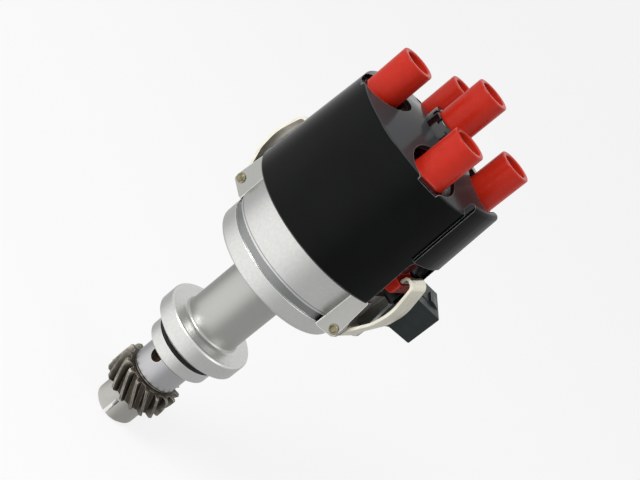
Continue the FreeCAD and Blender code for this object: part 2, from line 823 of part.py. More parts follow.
def clip_side():
    """Corners of the clip's middle line, from the eye up to the hook's tip."""
    eye_r = clip_pivot_r + pin_ring_r + clip_t / 2
    tip_z = lug_top_z - lug_fall * (clip_hook_r - cap_r) / lug_reach + clip_hook_lift
    return [
        (eye_r, clip_pivot_z, 0), (eye_r + clip_t / 2, clip_pivot_z + clip_foot_run, clip_foot_bend),
        (clip_belly_r - clip_lower_pull, clip_belly_z - clip_lower_run, clip_lower_bend),
        (clip_belly_r, clip_belly_z, clip_belly_bend),
        (clip_belly_r - clip_upper_pull, clip_belly_z + clip_upper_run, clip_upper_bend),
        (clip_hook_r + clip_crook_reach, clip_top_z - clip_crook_drop, clip_crook_bend),
        (clip_hook_r, clip_top_z - run_gap, clip_hook_bend), (clip_hook_r, tip_z, 0),
    ]


def offset_line(points, shift):
    """Corners of a line beside the given one, with the same bends."""
    places = [vec(r, 0, z) for r, z, _ in points]
    moved = []
    for i, place in enumerate(places):
        ahead = (places[i + 1] - place).normalize() if i + 1 < len(places) else None
        back = (place - places[i - 1]).normalize() if i else None
        ahead = ahead or back
        back = back or ahead
        side_a = vec(back.z, 0, -back.x)
        side_b = vec(ahead.z, 0, -ahead.x)
        mitre = (side_a + side_b).normalize()
        reach = shift / mitre.dot(side_a)
        turn_out = back.cross(ahead).y
        bend = points[i][2]
        if bend:
            bend += shift if turn_out < 0 else -shift
        moved.append((place.x + mitre.x * reach, place.z + mitre.z * reach, bend))
    return moved


def clip_taper():
    """Front view of the clip, parallel at the eye and narrower at the hook."""
    low_z = clip_pivot_z - 2 * clip_pin_r - clip_t
    bend_z = clip_pivot_z + 2 * clip_pin_r + clip_t
    high_z = clip_top_z + clip_t
    corners = [(-clip_w / 2, low_z), (clip_w / 2, low_z), (clip_w / 2, bend_z), (clip_tip_w / 2, high_z),
               (-clip_tip_w / 2, high_z), (-clip_w / 2, bend_z), (-clip_w / 2, low_z)]
    near_r = clip_pivot_r / 2
    face = Part.Face(Part.makePolygon([vec(near_r, y, z) for y, z in corners]))
    return face.extrude(vec(clip_belly_r, 0))


def make_clip(az):
    line = clip_side()
    strip = extruded_side(offset_line(line, clip_t / 2) + offset_line(line, -clip_t / 2)[::-1], clip_w)
    eye = side_cylinder(pin_ring_r + clip_t, clip_w, clip_pivot_r, clip_pivot_z)
    hole = side_cylinder(pin_ring_r, clip_w + 2 * overcut, clip_pivot_r, clip_pivot_z)
    body = strip.fuse(eye).cut(hole).common(clip_taper())
    return turned(body.removeSplitter(), az)


def make_clip_pivots():
    pin = side_cylinder(clip_pin_r, 2 * (boss_half_w + clip_pin_end), clip_pivot_r, clip_pivot_z)
    return group([turned(pin, az) for az in clip_az])


def drive_slot():
    slot = Part.makeBox(slot_w, 4 * hub_r, slot_depth + overcut,
                        vec(slot_offset - slot_w / 2, -2 * hub_r, hub_low_z - overcut))
    return turned(slot, slot_turn)


def gear_pin_hole():
    return cross_hole(gear_pin_r + seat_gap, -hub_r - overcut, hub_r + overcut, gear_pin_z)


def make_drive_shaft():
    groove_low_z = clip_ring_z - run_gap
    groove_top_z = clip_ring_z + clip_ring_t + run_gap
    groove_r = shaft_r - clip_ring_depth
    end_z = hub_low_z + shaft_end_inset
    shaft = revolved([
        (0, end_z), (shaft_r - edge_break, end_z), (shaft_r, end_z + edge_break), (shaft_r, groove_low_z),
        (groove_r, groove_low_z), (groove_r, groove_top_z), (shaft_r, groove_top_z), (shaft_r, rotor_seat_z),
        (rotor_seat_r, rotor_seat_z), (rotor_seat_r, shaft_top_z - edge_break),
        (rotor_seat_r - edge_break, shaft_top_z), (0, shaft_top_z),
    ])
    flat = block(rotor_seat_r - rotor_flat_depth, rotor_seat_r + overcut, 3 * shaft_r, rotor_seat_z,
                 shaft_top_z + overcut)
    return shaft.cut(flat).cut(drive_slot()).cut(gear_pin_hole())


def gear_section(z, turn):
    """Outline of all the teeth at one height."""
    edges = []
    pitch = 2 * math.pi / gear_teeth
    tip_half = tooth_tip_share * pitch / 2
    root_half = tooth_root_share * pitch / 2

    def at(r, a):
        return vec(r * math.cos(a + turn), r * math.sin(a + turn), z)

    for i in range(gear_teeth):
        mid = i * pitch
        tip_start = at(gear_tip_r, mid - tip_half)
        tip_end = at(gear_tip_r, mid + tip_half)
        root_start = at(gear_root_r, mid + root_half)
        root_end = at(gear_root_r, mid + pitch - root_half)
        edges.append(Part.LineSegment(at(gear_root_r, mid - root_half), tip_start).toShape())
        edges.append(Part.Arc(tip_start, at(gear_tip_r, mid), tip_end).toShape())
        edges.append(Part.LineSegment(tip_end, root_start).toShape())
        edges.append(Part.Arc(root_start, at(gear_root_r, mid + pitch / 2), root_end).toShape())
    return Part.Wire(edges)


def make_drive_gear():
    """Left-hand helical gear with its hub in one piece."""
    twist = math.tan(math.radians(gear_helix)) / ((gear_tip_r + gear_root_r) / 2)
    steps = 4
    sections = []
    for i in range(steps + 1):
        rise = gear_len * i / steps
        sections.append(gear_section(gear_low_z + rise, -twist * rise))
    teeth = Part.makeLoft(sections, True, False)
    outer_r = gear_tip_r + free_gap
    break_h = gear_tip_chamfer + free_gap
    envelope = revolved([
        (0, gear_low_z), (gear_tip_r - gear_tip_chamfer, gear_low_z), (outer_r, gear_low_z + break_h),
        (outer_r, gear_top_z - break_h), (gear_tip_r - gear_tip_chamfer, gear_top_z), (0, gear_top_z),
    ])
    hub = revolved([
        (0, hub_low_z), (hub_r - hub_chamfer, hub_low_z), (hub_r, hub_low_z + hub_chamfer, 1.0),
        (hub_r, gear_low_z + fine_break), (0, gear_low_z + fine_break),
    ])
    bore = cylinder(shaft_r + seat_gap, hub_low_z - overcut, gear_top_z + overcut)
    return teeth.common(envelope).fuse(hub).cut(bore).cut(drive_slot()).cut(gear_pin_hole())


def make_gear_pin():
    half_len = hub_r - free_gap
    return cross_hole(gear_pin_r, -half_len, half_len, gear_pin_z)


def make_thrust_washer():
    return ring(washer_r, shaft_r + seat_gap, washer_top_z - washer_t, washer_top_z)


def make_upper_shim():
    return ring(shaft_r + shim_w, shaft_r + seat_gap, shim_low_z, shim_low_z + shim_t)


def make_retaining_ring():
    outer_r = shaft_r + clip_ring_w
    body = ring(outer_r, shaft_r - clip_ring_depth + seat_gap, clip_ring_z, clip_ring_z + clip_ring_t)
    mouth = block(0, outer_r + overcut, clip_ring_gap, clip_ring_z - overcut, clip_ring_z + clip_ring_t + overcut)
    return body.cut(mouth)


def make_vane_wheel():
    """Cup with four vanes that pass through the sensor's fork."""
    body = ring(vane_r, shaft_r + seat_gap, vane_top_z - vane_t, vane_top_z)
    body = body.fuse(ring(vane_hub_r, shaft_r + seat_gap, vane_top_z - vane_hub_len, vane_top_z))
    vane = sector(vane_r, vane_r - vane_t, vane_half_angle, vane_low_z, vane_top_z)
    hole = cylinder(vane_hole_r, vane_top_z - 2 * vane_t, vane_top_z + overcut, (vane_hub_r + vane_r) / 2)
    pitch = 360.0 / vane_count
    for i in range(vane_count):
        body = body.fuse(turned(vane, (i + 0.5) * pitch)).cut(turned(hole, (i + 0.5) * pitch))
    return body.removeSplitter()


def make_rotor_arm():
    """Moulded rotor: keyed hub, foot flange, arm out to the tip and a balancing tail."""
    arm_low_z = rotor_top_z - rotor_arm_t
    base_top_z = rotor_low_z + rotor_base_h
    waist = rotor_arm_w * 0.62
    tail = rotor_arm_w * 0.7
    body = revolved([
        (0, rotor_low_z), (rotor_base_r, rotor_low_z, edge_break), (rotor_base_r, base_top_z, edge_break),
        (rotor_hub_r, base_top_z + 2, 1.5), (rotor_hub_r - 1, rotor_top_z), (0, rotor_top_z),
    ])
    arm = Part.Face(outline([
        (-rotor_tail_r, -tail, 3.0), (0, -waist, 4.0), (rotor_tip_r, -rotor_arm_w / 2, 1.5),
        (rotor_tip_r, rotor_arm_w / 2, 1.5), (0, waist, 4.0), (-rotor_tail_r, tail, 3.0),
    ], "xy"))
    arm.translate(vec(0, 0, arm_low_z))
    web = extruded_side([
        (rotor_hub_r - rotor_web_t, base_top_z), (rotor_base_r - edge_break, base_top_z),
        (rotor_tip_r - rotor_web_t, arm_low_z + fine_break), (rotor_hub_r - rotor_web_t, arm_low_z + fine_break),
    ], rotor_web_t)
    body = body.fuse(arm.extrude(vec(0, 0, rotor_arm_t))).fuse(web)
    socket = cylinder(rotor_seat_r + seat_gap, rotor_low_z - overcut, shaft_top_z + free_gap)
    key = block(rotor_seat_r - rotor_flat_depth + seat_gap, rotor_seat_r + overcut, 3 * shaft_r,
                rotor_seat_z + seat_gap, rotor_top_z)
    foot_bore = cylinder(shaft_r + seat_gap, rotor_low_z - overcut, rotor_seat_z + seat_gap)
    return body.cut(socket.cut(key)).cut(foot_bore).removeSplitter()


def make_rotor_electrode():
    neck_r = rotor_electrode_r - electrode_pad
    half_w = electrode_w / 2
    strip = Part.Face(outline([
        (-electrode_pad, -electrode_pad, 3.6), (electrode_pad, -electrode_pad, 2.0), (neck_r, -half_w, 1.0),
        (rotor_electrode_r, -half_w), (rotor_electrode_r, half_w), (neck_r, half_w, 1.0),
        (electrode_pad, electrode_pad, 2.0), (-electrode_pad, electrode_pad, 3.6),
    ], "xy"))
    strip.translate(vec(0, 0, rotor_top_z + seat_gap))
    return strip.extrude(vec(0, 0, electrode_t - seat_gap))


makers = {
    "housing": make_housing,
    "o_ring": make_o_ring,
    "upper_bush": make_upper_bush,
    "lower_bush": make_lower_bush,
    "shaft_seal": make_shaft_seal,
    "hall_plate": make_hall_plate,
    "plate_screws": make_plate_screws,
    "hall_sensor": make_hall_sensor,
    "connector_housing": make_connector_housing,
    "connector_pins": make_connector_pins,
    "dust_shield": make_dust_shield,
    "distributor_cap": make_distributor_cap,
    "outer_terminals": make_outer_terminals,
    "centre_terminal": make_centre_terminal,
    "brush_spring": make_brush_spring,
    "carbon_brush": make_carbon_brush,
    "cap_shroud": make_cap_shroud,
    "shroud_retainer": make_shroud_retainer,
    "clip_pivots": make_clip_pivots,
    "clip_right": lambda: make_clip(clip_az[0]),
    "clip_left": lambda: make_clip(clip_az[1]),
    "drive_shaft": make_drive_shaft,
    "drive_gear": make_drive_gear,
    "gear_pin": make_gear_pin,
    "thrust_washer": make_thrust_washer,
    "upper_shim": make_upper_shim,
    "retaining_ring": make_retaining_ring,
    "vane_wheel": make_vane_wheel,
    "rotor_arm": make_rotor_arm,
    "rotor_electrode": make_rotor_electrode,
}

os.makedirs("parts", exist_ok=True)
for name, make in makers.items():
    shape = make()
    shape.exportStep("parts/" + name + ".step")
    print(name, "solids", len(shape.Solids), "valid", shape.isValid(), "volume", round(shape.Volume, 1))
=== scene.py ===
import json
import math

import bpy
from mathutils import Matrix, Vector


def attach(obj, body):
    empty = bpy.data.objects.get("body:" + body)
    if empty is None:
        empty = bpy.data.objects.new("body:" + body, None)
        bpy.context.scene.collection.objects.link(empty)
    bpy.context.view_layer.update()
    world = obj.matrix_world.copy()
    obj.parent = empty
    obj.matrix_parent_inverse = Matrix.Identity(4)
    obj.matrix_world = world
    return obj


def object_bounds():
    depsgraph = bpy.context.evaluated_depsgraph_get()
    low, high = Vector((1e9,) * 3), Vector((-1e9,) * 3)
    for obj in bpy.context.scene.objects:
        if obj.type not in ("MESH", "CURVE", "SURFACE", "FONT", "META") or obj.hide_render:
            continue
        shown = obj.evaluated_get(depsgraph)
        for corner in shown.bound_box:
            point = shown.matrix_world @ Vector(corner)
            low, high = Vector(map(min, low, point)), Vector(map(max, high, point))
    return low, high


bl_info = {
    "name": "Ignition Distributor Finishes",
    "version": (1, 0, 0),
    "blender": (4, 5, 0),
    "location": "View3D > Sidebar > Distributor",
    "description": "Gives an ignition distributor its finishes, fine detail, light and camera",
    "category": "Object",
}

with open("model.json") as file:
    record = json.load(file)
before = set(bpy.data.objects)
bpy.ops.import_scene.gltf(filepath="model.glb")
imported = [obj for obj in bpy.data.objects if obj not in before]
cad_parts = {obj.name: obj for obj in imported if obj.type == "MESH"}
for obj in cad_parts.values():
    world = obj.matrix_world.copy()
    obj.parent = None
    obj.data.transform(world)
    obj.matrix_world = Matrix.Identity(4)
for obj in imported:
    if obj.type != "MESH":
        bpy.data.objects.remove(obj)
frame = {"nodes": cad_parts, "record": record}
cad_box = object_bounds()
MM = 0.001


def slot_colour(name):
    """Colour that the record gives a material slot."""
    for slot in frame["record"]["materials"]:
        if slot["slot"] == name:
            return tuple(slot["base_color"])
    raise RuntimeError("the record has no material slot " + name)


def colour_property(name, description, default):
    """Colour that a user may change."""
    return bpy.props.FloatVectorProperty(name=name, description=description, subtype="COLOR", size=3,
                                         min=0.0, max=1.0, default=default)


def length_property(name, description, default_mm):
    """Length in metres, whose default is given in millimetres."""
    return bpy.props.FloatProperty(name=name, description=description, subtype="DISTANCE", unit="LENGTH",
                                   min=0.0, default=default_mm * MM)


def share_property(name, description, default):
    """Value from 0 to 1."""
    return bpy.props.FloatProperty(name=name, description=description, subtype="FACTOR", min=0.0, max=1.0,
                                   default=default)


def level_property(name, description, default):
    """Strength of a light without a unit."""
    return bpy.props.FloatProperty(name=name, description=description, min=0.0, default=default)


def power_property(name, description, default):
    """Power of a lamp in watts."""
    return bpy.props.FloatProperty(name=name, description=description, unit="POWER", min=0.0,
                                   default=default)


def angle_property(name, description, default_degrees):
    """Angle in radians, whose default is given in degrees."""
    return bpy.props.FloatProperty(name=name, description=description, subtype="ANGLE", unit="ROTATION",
                                   default=math.radians(default_degrees))


class CastingSettings(bpy.types.PropertyGroup):
    colour: colour_property("Casting colour", "Colour of the turned aluminium", (0.60, 0.60, 0.585))
    shade: colour_property("Mottle colour", "Darker patches of the cast skin", (0.555, 0.555, 0.54))
    # Painted shade: the groove's floor is darkened where shade falls in it.
    groove_shade: colour_property("Groove shade", "Painted shade on the floor of the groove round the bowl",
                                   (0.25, 0.26, 0.255))
    groove_low: length_property("Groove's foot", "Height of the groove's lower edge", 61.2)
    groove_top: length_property("Groove's top", "Height of the groove's upper edge", 65.1)
    groove_radius: length_property("Groove radius", "Bowl radius inside which the groove is dull", 33.6)
    score_rise: length_property("Score's rise", "From the groove's top to the fine score above it", 1.1)
    score_width: length_property("Score width", "Width of the fine score", 0.4)
    score_radius: length_property("Score radius", "Radius inside which the score is drawn", 34.8)
    # Painted highlight along the casting's edges.
    edge_highlight: colour_property("Edge highlight", "Painted highlight along the edges of the machined faces", (0.72, 0.72, 0.70))
    neck_colour: colour_property("Neck colour", "Duller cast skin of the neck", (0.40, 0.40, 0.385))
    neck_low: length_property("Neck's foot", "Height at which the neck leaves the collar", 11.6)
    neck_top: length_property("Neck's top", "Height up to which the neck is dull", 57.0)
    neck_radius: length_property("Neck radius", "Radius inside which the neck is dull", 16.0)
    # Painted shade on the clip ears' cheeks.
    ear_shade: colour_property("Ear shade", "Painted shade on the cheeks of the clip ears", (0.33, 0.33, 0.315))
    ear_inner: length_property("Ear's inner edge", "Radius beyond which the bowl's wall is an ear", 34.7)
    ear_fade: length_property("Ear's fade", "Width over which the wall's colour turns to the ear's", 0.2)
    spigot_colour: colour_property("Spigot colour", "Grey of the spigot under the pilot",
                                   (0.43, 0.43, 0.44))
    spigot_top: length_property("Spigot's top", "How far the spigot's top lies under the collar", 10.5)
    spigot_foot: length_property("Spigot's foot", "How far down the spigot's grey may reach", 30.0)
    spigot_radius: length_property("Spigot radius", "Radius inside which the grey is laid", 13.0)
    grain: length_property("Grain", "Size of the blasted grain", 0.35)
    roughness: share_property("Roughness", "Roughness of the cast skin", 0.30)


class CoverSettings(bpy.types.PropertyGroup):
    colour: colour_property("Cover colour", "Colour of the glossy black cover", (0.002, 0.0025, 0.0023))
    # Painted highlight along the cover's edges.
    edge_highlight: colour_property("Edge highlight", "Painted highlight along the cover's edges",
                                 (0.22, 0.22, 0.23))
    # Painted reflection: the cover's top is lighter grey, as if it mirrored the bright surroundings.
    top_reflection: colour_property("Top reflection", "Painted reflection on the cover's top",
                                (0.040, 0.043, 0.046))
    top_height: length_property("Top height", "Height above which the cover's top has the painted reflection", 139.9)
    top_reach: length_property("Top reach", "How far above that height the painted reflection is drawn", 15.0)
    top_radius: length_property("Top radius", "Radius of the flat top, inside the raised pad", 39.6)
    ring_colour: colour_property("Ring colour", "Colour of the push-on ring", (0.006, 0.0065, 0.007))
    roughness: share_property("Roughness", "Roughness of the moulded gloss", 0.09)


class CapSettings(bpy.types.PropertyGroup):
    colour: colour_property("Cap colour", "Red of the moulded cap", (0.50, 0.021, 0.009))
    shade: colour_property("Flow colour", "Darker red of the moulding's flow lines",
                           (0.46, 0.019, 0.008))
    # Painted highlight on the cap's rims and edges.
    edge_highlight: colour_property("Rim highlight", "Painted highlight on the red rims and edges", (0.72, 0.13, 0.09))
    # Painted shade on the red body under the cover.
    under_cover_shade: colour_property("Under-cover shade", "Painted shade on the red body under the cover",
                                  (0.085, 0.006, 0.004))
    depth_low: length_property("Depth's foot", "Height of the lugs' tops, where the painted shade starts",
                               100.4)
    depth_top: length_property("Depth's top", "Height at which the towers leave the cover", 139.6)
    depth_radius: length_property("Depth radius", "Radius that holds the whole cap", 60.0)
    roughness: share_property("Roughness", "Roughness of the moulded red", 0.24)


class BeadSettings(bpy.types.PropertyGroup):
    radius: length_property("Bead radius", "From the shaft's axis to the bead's middle", 41.95)
    height: length_property("Bead height", "Height of the bead's middle", 85.2)
    thickness: length_property("Bead thickness", "Radius of the bead's own section", 0.5)


class PivotCapSettings(bpy.types.PropertyGroup):
    radius: length_property("Cap radius", "Radius of the push-on cap over a pin's end", 2.3)
    thickness: length_property("Cap thickness", "How far the cap stands off the rib", 0.9)
    dome: length_property("Dome width", "Width of the flat margin round the dome", 0.75)
    pivot_radius: length_property("Pivot radius", "From the shaft's axis to the pins", 39.5)
    pivot_height: length_property("Pivot height", "Height of the pins", 65.8)
    rib_face: length_property("Rib face", "From the clip's middle to the rib's outer face", 11.5)


class ClipSettings(bpy.types.PropertyGroup):
    colour: colour_property("Clip colour", "Warm white of the bright steel strip", (0.74, 0.71, 0.60))
    pin_colour: colour_property("Pin colour", "Olive of the plated pivot pins", (0.30, 0.27, 0.17))
    roughness: share_property("Roughness", "Roughness of the rolled strip", 0.30)


class DriveSettings(bpy.types.PropertyGroup):
    gear_colour: colour_property("Gear colour", "Oiled steel of the helical gear", (0.25, 0.23, 0.195))
    # Painted shade between the teeth.
    gap_shade: colour_property("Gap shade", "Painted shade between the teeth", (0.055, 0.045, 0.035))
    tip_radius: length_property("Unshaded radius", "Radius at which the painted shade between the teeth ends", 15.9)
    gap_radius: length_property("Gap radius", "Radius at which the painted shade between the teeth is full", 13.2)
    # Painted highlight on the teeth's edges.
    tip_highlight: colour_property("Tooth edge highlight", "Painted highlight on the edges of the teeth",
                                (0.52, 0.50, 0.45))
    end_colour: colour_property("End colour", "Turned hub below the teeth", (0.40, 0.39, 0.365))
    end_top: length_property("End's top", "How far the hub's top lies under the collar", 40.2)
    end_foot: length_property("End's foot", "How far down the hub's colour may reach", 60.0)
    end_radius: length_property("End radius", "Radius that holds the hub and not the teeth", 11.0)
    washer_colour: colour_property("Washer colour", "Bright washer above the gear", (0.78, 0.76, 0.70))
    bronze_colour: colour_property("Bronze colour", "Oil-soaked bronze of the bushes",
                                   (0.060, 0.038, 0.022))
    shaft_colour: colour_property("Shaft colour", "Turned steel of the shaft, pin and shim",
                                  (0.60, 0.59, 0.57))
    roughness: share_property("Roughness", "Roughness of the hobbed teeth", 0.36)


class SenderSettings(bpy.types.PropertyGroup):
    colour: colour_property("Connector colour", "Dark grey of the connector", (0.014, 0.021, 0.022))
    # Painted highlight along the connector's edges.
    edge_highlight: colour_property("Edge highlight", "Painted highlight along the connector's edges", (0.06, 0.07, 0.07))
    plated_colour: colour_property("Plating colour", "Yellow zinc on the plate, screws and vanes",
                                   (0.55, 0.50, 0.34))
    brass_colour: colour_property("Brass colour", "Terminals, pins and electrode", (0.78, 0.60, 0.28))


class RotorSettings(bpy.types.PropertyGroup):
    colour: colour_property("Rotor colour", "Brown of the moulded rotor", slot_colour("brown_rotor"))
    carbon_colour: colour_property("Carbon colour", "Pressed carbon of the brush", slot_colour("carbon"))
    carbon_shade: colour_property("Carbon shade", "Darker grains of the brush", (0.02, 0.02, 0.02))


class SealSettings(bpy.types.PropertyGroup):
    colour: colour_property("Rubber colour", "Black of the seals", (0.006, 0.006, 0.006))
    shade: colour_property("Worn colour", "Greyer patches of the seals", (0.014, 0.014, 0.015))


class StageSettings(bpy.types.PropertyGroup):
    floor_colour: colour_property("Floor colour", "Pale floor", (0.90, 0.90, 0.90))
    floor_size: length_property("Floor size", "Side of the square floor", 24000.0)
    floor_white: share_property("Floor whiteness", "How much of the floor is plain white to look at", 0.8)
    world_level: level_property("World level", "Strength of the even light", 0.5)
    bright_azimuth: angle_property("Bright side", "Side on which the floor mirrors brightest", -132.0)
    bright_level: level_property("Bright level", "Brightness mirrored from that side", 1.4)
    dull_level: level_property("Dull level", "Brightness mirrored from the other sides", 0.62)
    key_power: power_property("Key power", "Power of the soft lamp at the upper left", 6.0)
    fill_power: power_property("Fill power", "Power of the soft lamp at the right", 1.2)
    camera_distance: length_property("Camera distance", "From the aim point to the lens", 550.0)
    aim_height: length_property("Aim height", "Height of the aim point above the collar's seat", 75.17)
    elevation: angle_property("Elevation", "How far the camera looks down", 21.06)
    roll: angle_property("Roll", "How far the picture leans to the right", 50.70)
    lens: bpy.props.FloatProperty(name="Lens", description="Focal length in millimetres", min=1.0,
                                  default=72.47)
    shift: bpy.props.FloatProperty(name="Shift", description="Sideways shift in picture widths",
                                   default=0.0070)


class DistributorSettings(bpy.types.PropertyGroup):
    casting: bpy.props.PointerProperty(type=CastingSettings)
    cover: bpy.props.PointerProperty(type=CoverSettings)
    cap: bpy.props.PointerProperty(type=CapSettings)
    bead: bpy.props.PointerProperty(type=BeadSettings)
    pivot_caps: bpy.props.PointerProperty(type=PivotCapSettings)
    clips: bpy.props.PointerProperty(type=ClipSettings)
    drive: bpy.props.PointerProperty(type=DriveSettings)
    sender: bpy.props.PointerProperty(type=SenderSettings)
    rotor: bpy.props.PointerProperty(type=RotorSettings)
    seals: bpy.props.PointerProperty(type=SealSettings)
    stage: bpy.props.PointerProperty(type=StageSettings)


WIDTH_TO_LENGTH = 0.03  # of the rolled lines
LINE_TO_STREAK = 0.15  # width of a rolled line by that of a broad streak
EDGE_SAMPLES = 8


def opaque(colour):
    """Colour with the full alpha that sockets ask for."""
    return (*colour, 1.0)


def new_group(name, inputs, outputs):
    """Empty shader node group with named number sockets: inputs with their defaults, and outputs."""
    group = bpy.data.node_groups.new(name, "ShaderNodeTree")
    for label, default in inputs.items():
        socket = group.interface.new_socket(name=label, in_out="INPUT", socket_type="NodeSocketFloat")
        socket.default_value = default
    for label in outputs:
        group.interface.new_socket(name=label, in_out="OUTPUT", socket_type="NodeSocketFloat")
    return group, group.nodes.new("NodeGroupInput"), group.nodes.new("NodeGroupOutput")


def math_node(tree, operation, first, second=None):
    """Result of one sum on sockets or plain numbers."""
    node = tree.nodes.new("ShaderNodeMath")
    node.operation = operation
    for index, value in enumerate((first, second)):
        if value is None:
            continue
        if isinstance(value, (int, float)):
            node.inputs[index].default_value = value
        else:
            tree.links.new(value, node.inputs[index])
    return node.outputs[0]


def noise_node(tree, vector, scale, detail, roughness=0.5):
    """Even noise from 0 to 1, whose scale is a number or a socket."""
    node = tree.nodes.new("ShaderNodeTexNoise")
    node.inputs["Detail"].default_value = detail
    node.inputs["Roughness"].default_value = roughness
    tree.links.new(vector, node.inputs["Vector"])
    if isinstance(scale, (int, float)):
        node.inputs["Scale"].default_value = scale
    else:
        tree.links.new(scale, node.inputs["Scale"])
    return node.outputs[0]


def ramp(tree, value, low, high):
    """Value stretched so that low becomes 0 and high becomes 1."""
    node = tree.nodes.new("ShaderNodeMapRange")
    node.inputs["From Min"].default_value = low
    node.inputs["From Max"].default_value = high
    tree.links.new(value, node.inputs["Value"])
    return node.outputs[0]


def object_place(tree):
    """Place on the object, in metres from the collar's seat."""
    return tree.nodes.new("ShaderNodeTexCoord").outputs["Object"]


def upright_place(tree):
    """Distance from the upright axis, and height."""
    split = tree.nodes.new("ShaderNodeSeparateXYZ")
    tree.links.new(object_place(tree), split.inputs[0])
    x, y, z = split.outputs
    squares = math_node(tree, "ADD", math_node(tree, "MULTIPLY", x, x), math_node(tree, "MULTIPLY", y, y))
    return math_node(tree, "SQRT", squares), z


def grain_group():
    """Fine height grain and broad mottling, for cast, moulded and plated skins."""
    group, given, result = new_group("skin grain", {"Grain Size": 0.4 * MM, "Patch Size": 12 * MM},
                                     ("Height", "Mottle"))
    place = object_place(group)
    grains = math_node(group, "DIVIDE", 1.0, given.outputs["Grain Size"])
    patches = math_node(group, "DIVIDE", 1.0, given.outputs["Patch Size"])
    fine = noise_node(group, place, grains, detail=2.0)
    broad = noise_node(group, place, patches, detail=4.0, roughness=0.6)
    group.links.new(fine, result.inputs["Height"])
    group.links.new(ramp(group, broad, low=0.35, high=0.65), result.inputs["Mottle"])
    return group


def lathe_group():
    """Turning marks round the upright axis: fine rings along the height and the radius."""
    group, given, result = new_group("lathe marks", {"Pitch": 0.4 * MM, "Unevenness": 0.4},
                                     ("Height", "Sheen"))
    radius, z = upright_place(group)
    across = math_node(group, "DIVIDE", math_node(group, "ADD", z, radius), given.outputs["Pitch"])
    ridge = math_node(group, "SINE", math_node(group, "MULTIPLY", across, 2 * math.pi))
    join = group.nodes.new("ShaderNodeCombineXYZ")
    group.links.new(across, join.inputs[0])
    band = noise_node(group, join.outputs[0], scale=0.35, detail=2.0)
    swell = math_node(group, "SUBTRACT", band, 0.5)
    uneven = math_node(group, "MULTIPLY", swell, given.outputs["Unevenness"])
    group.links.new(math_node(group, "ADD", math_node(group, "MULTIPLY", ridge, 0.5), uneven),
                    result.inputs["Height"])
    group.links.new(ramp(group, band, low=0.3, high=0.7), result.inputs["Sheen"])
    return group


def rolled_group():
    """Long fine lines along the height, as on rolled or brushed strip."""
    group, given, result = new_group("rolled lines", {"Line Width": 0.2 * MM}, ("Height", "Streak"))
    squash = group.nodes.new("ShaderNodeMapping")
    squash.inputs["Scale"].default_value = (1.0, 1.0, WIDTH_TO_LENGTH)
    group.links.new(object_place(group), squash.inputs["Vector"])
    scale = math_node(group, "DIVIDE", 1.0, given.outputs["Line Width"])
    lines = noise_node(group, squash.outputs[0], scale, detail=2.0)
    group.links.new(lines, result.inputs["Height"])
    broad_scale = math_node(group, "MULTIPLY", scale, LINE_TO_STREAK)
    wide = noise_node(group, squash.outputs[0], broad_scale, detail=3.0)
    group.links.new(ramp(group, wide, low=0.35, high=0.65), result.inputs["Streak"])
    return group


def band_group():
    """Mask of the surface between two heights and inside a radius, and the distance from the axis."""
    group, given, result = new_group("height band", {"Low": 0.0, "High": 1.0, "Radius": 1.0},
                                     ("Mask", "Distance"))
    radius, z = upright_place(group)
    above = math_node(group, "GREATER_THAN", z, given.outputs["Low"])
    below = math_node(group, "LESS_THAN", z, given.outputs["High"])
    inside = math_node(group, "LESS_THAN", radius, given.outputs["Radius"])
    group.links.new(radius, result.inputs["Distance"])
    group.links.new(math_node(group, "MULTIPLY", math_node(group, "MULTIPLY", above, below), inside),
                    result.inputs["Mask"])
    return group


def edge_group():
    """Mask of the edges, where a rounded surface normal leaves the true one; it lays painted highlights
    along edges.
    """
    group, given, result = new_group("edge highlight", {"Width": 0.4 * MM, "Patchiness": 0.5}, ("Mask",))
    bevel = group.nodes.new("ShaderNodeBevel")
    bevel.samples = EDGE_SAMPLES
    group.links.new(given.outputs["Width"], bevel.inputs["Radius"])
    true_normal = group.nodes.new("ShaderNodeNewGeometry").outputs["Normal"]
    dot = group.nodes.new("ShaderNodeVectorMath")
    dot.operation = "DOT_PRODUCT"
    group.links.new(bevel.outputs[0], dot.inputs[0])
    group.links.new(true_normal, dot.inputs[1])
    lean = math_node(group, "SUBTRACT", 1.0, dot.outputs["Value"])
    specks = noise_node(group, object_place(group), scale=400.0, detail=2.0)
    patches = ramp(group, specks, low=0.3, high=0.6)
    missing = math_node(group, "SUBTRACT", 1.0, patches)
    lost = math_node(group, "MULTIPLY", given.outputs["Patchiness"], missing)
    kept = math_node(group, "SUBTRACT", 1.0, lost)
    edge_mask = ramp(group, lean, low=0.02, high=0.16)
    group.links.new(math_node(group, "MULTIPLY", edge_mask, kept), result.inputs["Mask"])
    return group


GROUP_MAKERS = {
    "skin grain": grain_group,
    "lathe marks": lathe_group,
    "rolled lines": rolled_group,
    "height band": band_group,
    "edge highlight": edge_group,
}


def place_group(tree, name, **sizes):
    """Shared node group, built on its first use, with this material's own values."""
    node = tree.nodes.new("ShaderNodeGroup")
    node.node_tree = bpy.data.node_groups.get(name) or GROUP_MAKERS[name]()
    for label, value in sizes.items():
        node.inputs[label.replace("_", " ").title()].default_value = value
    return node


MIX_FACTOR, MIX_FIRST, MIX_SECOND, MIX_RESULT = 0, 6, 7, 2


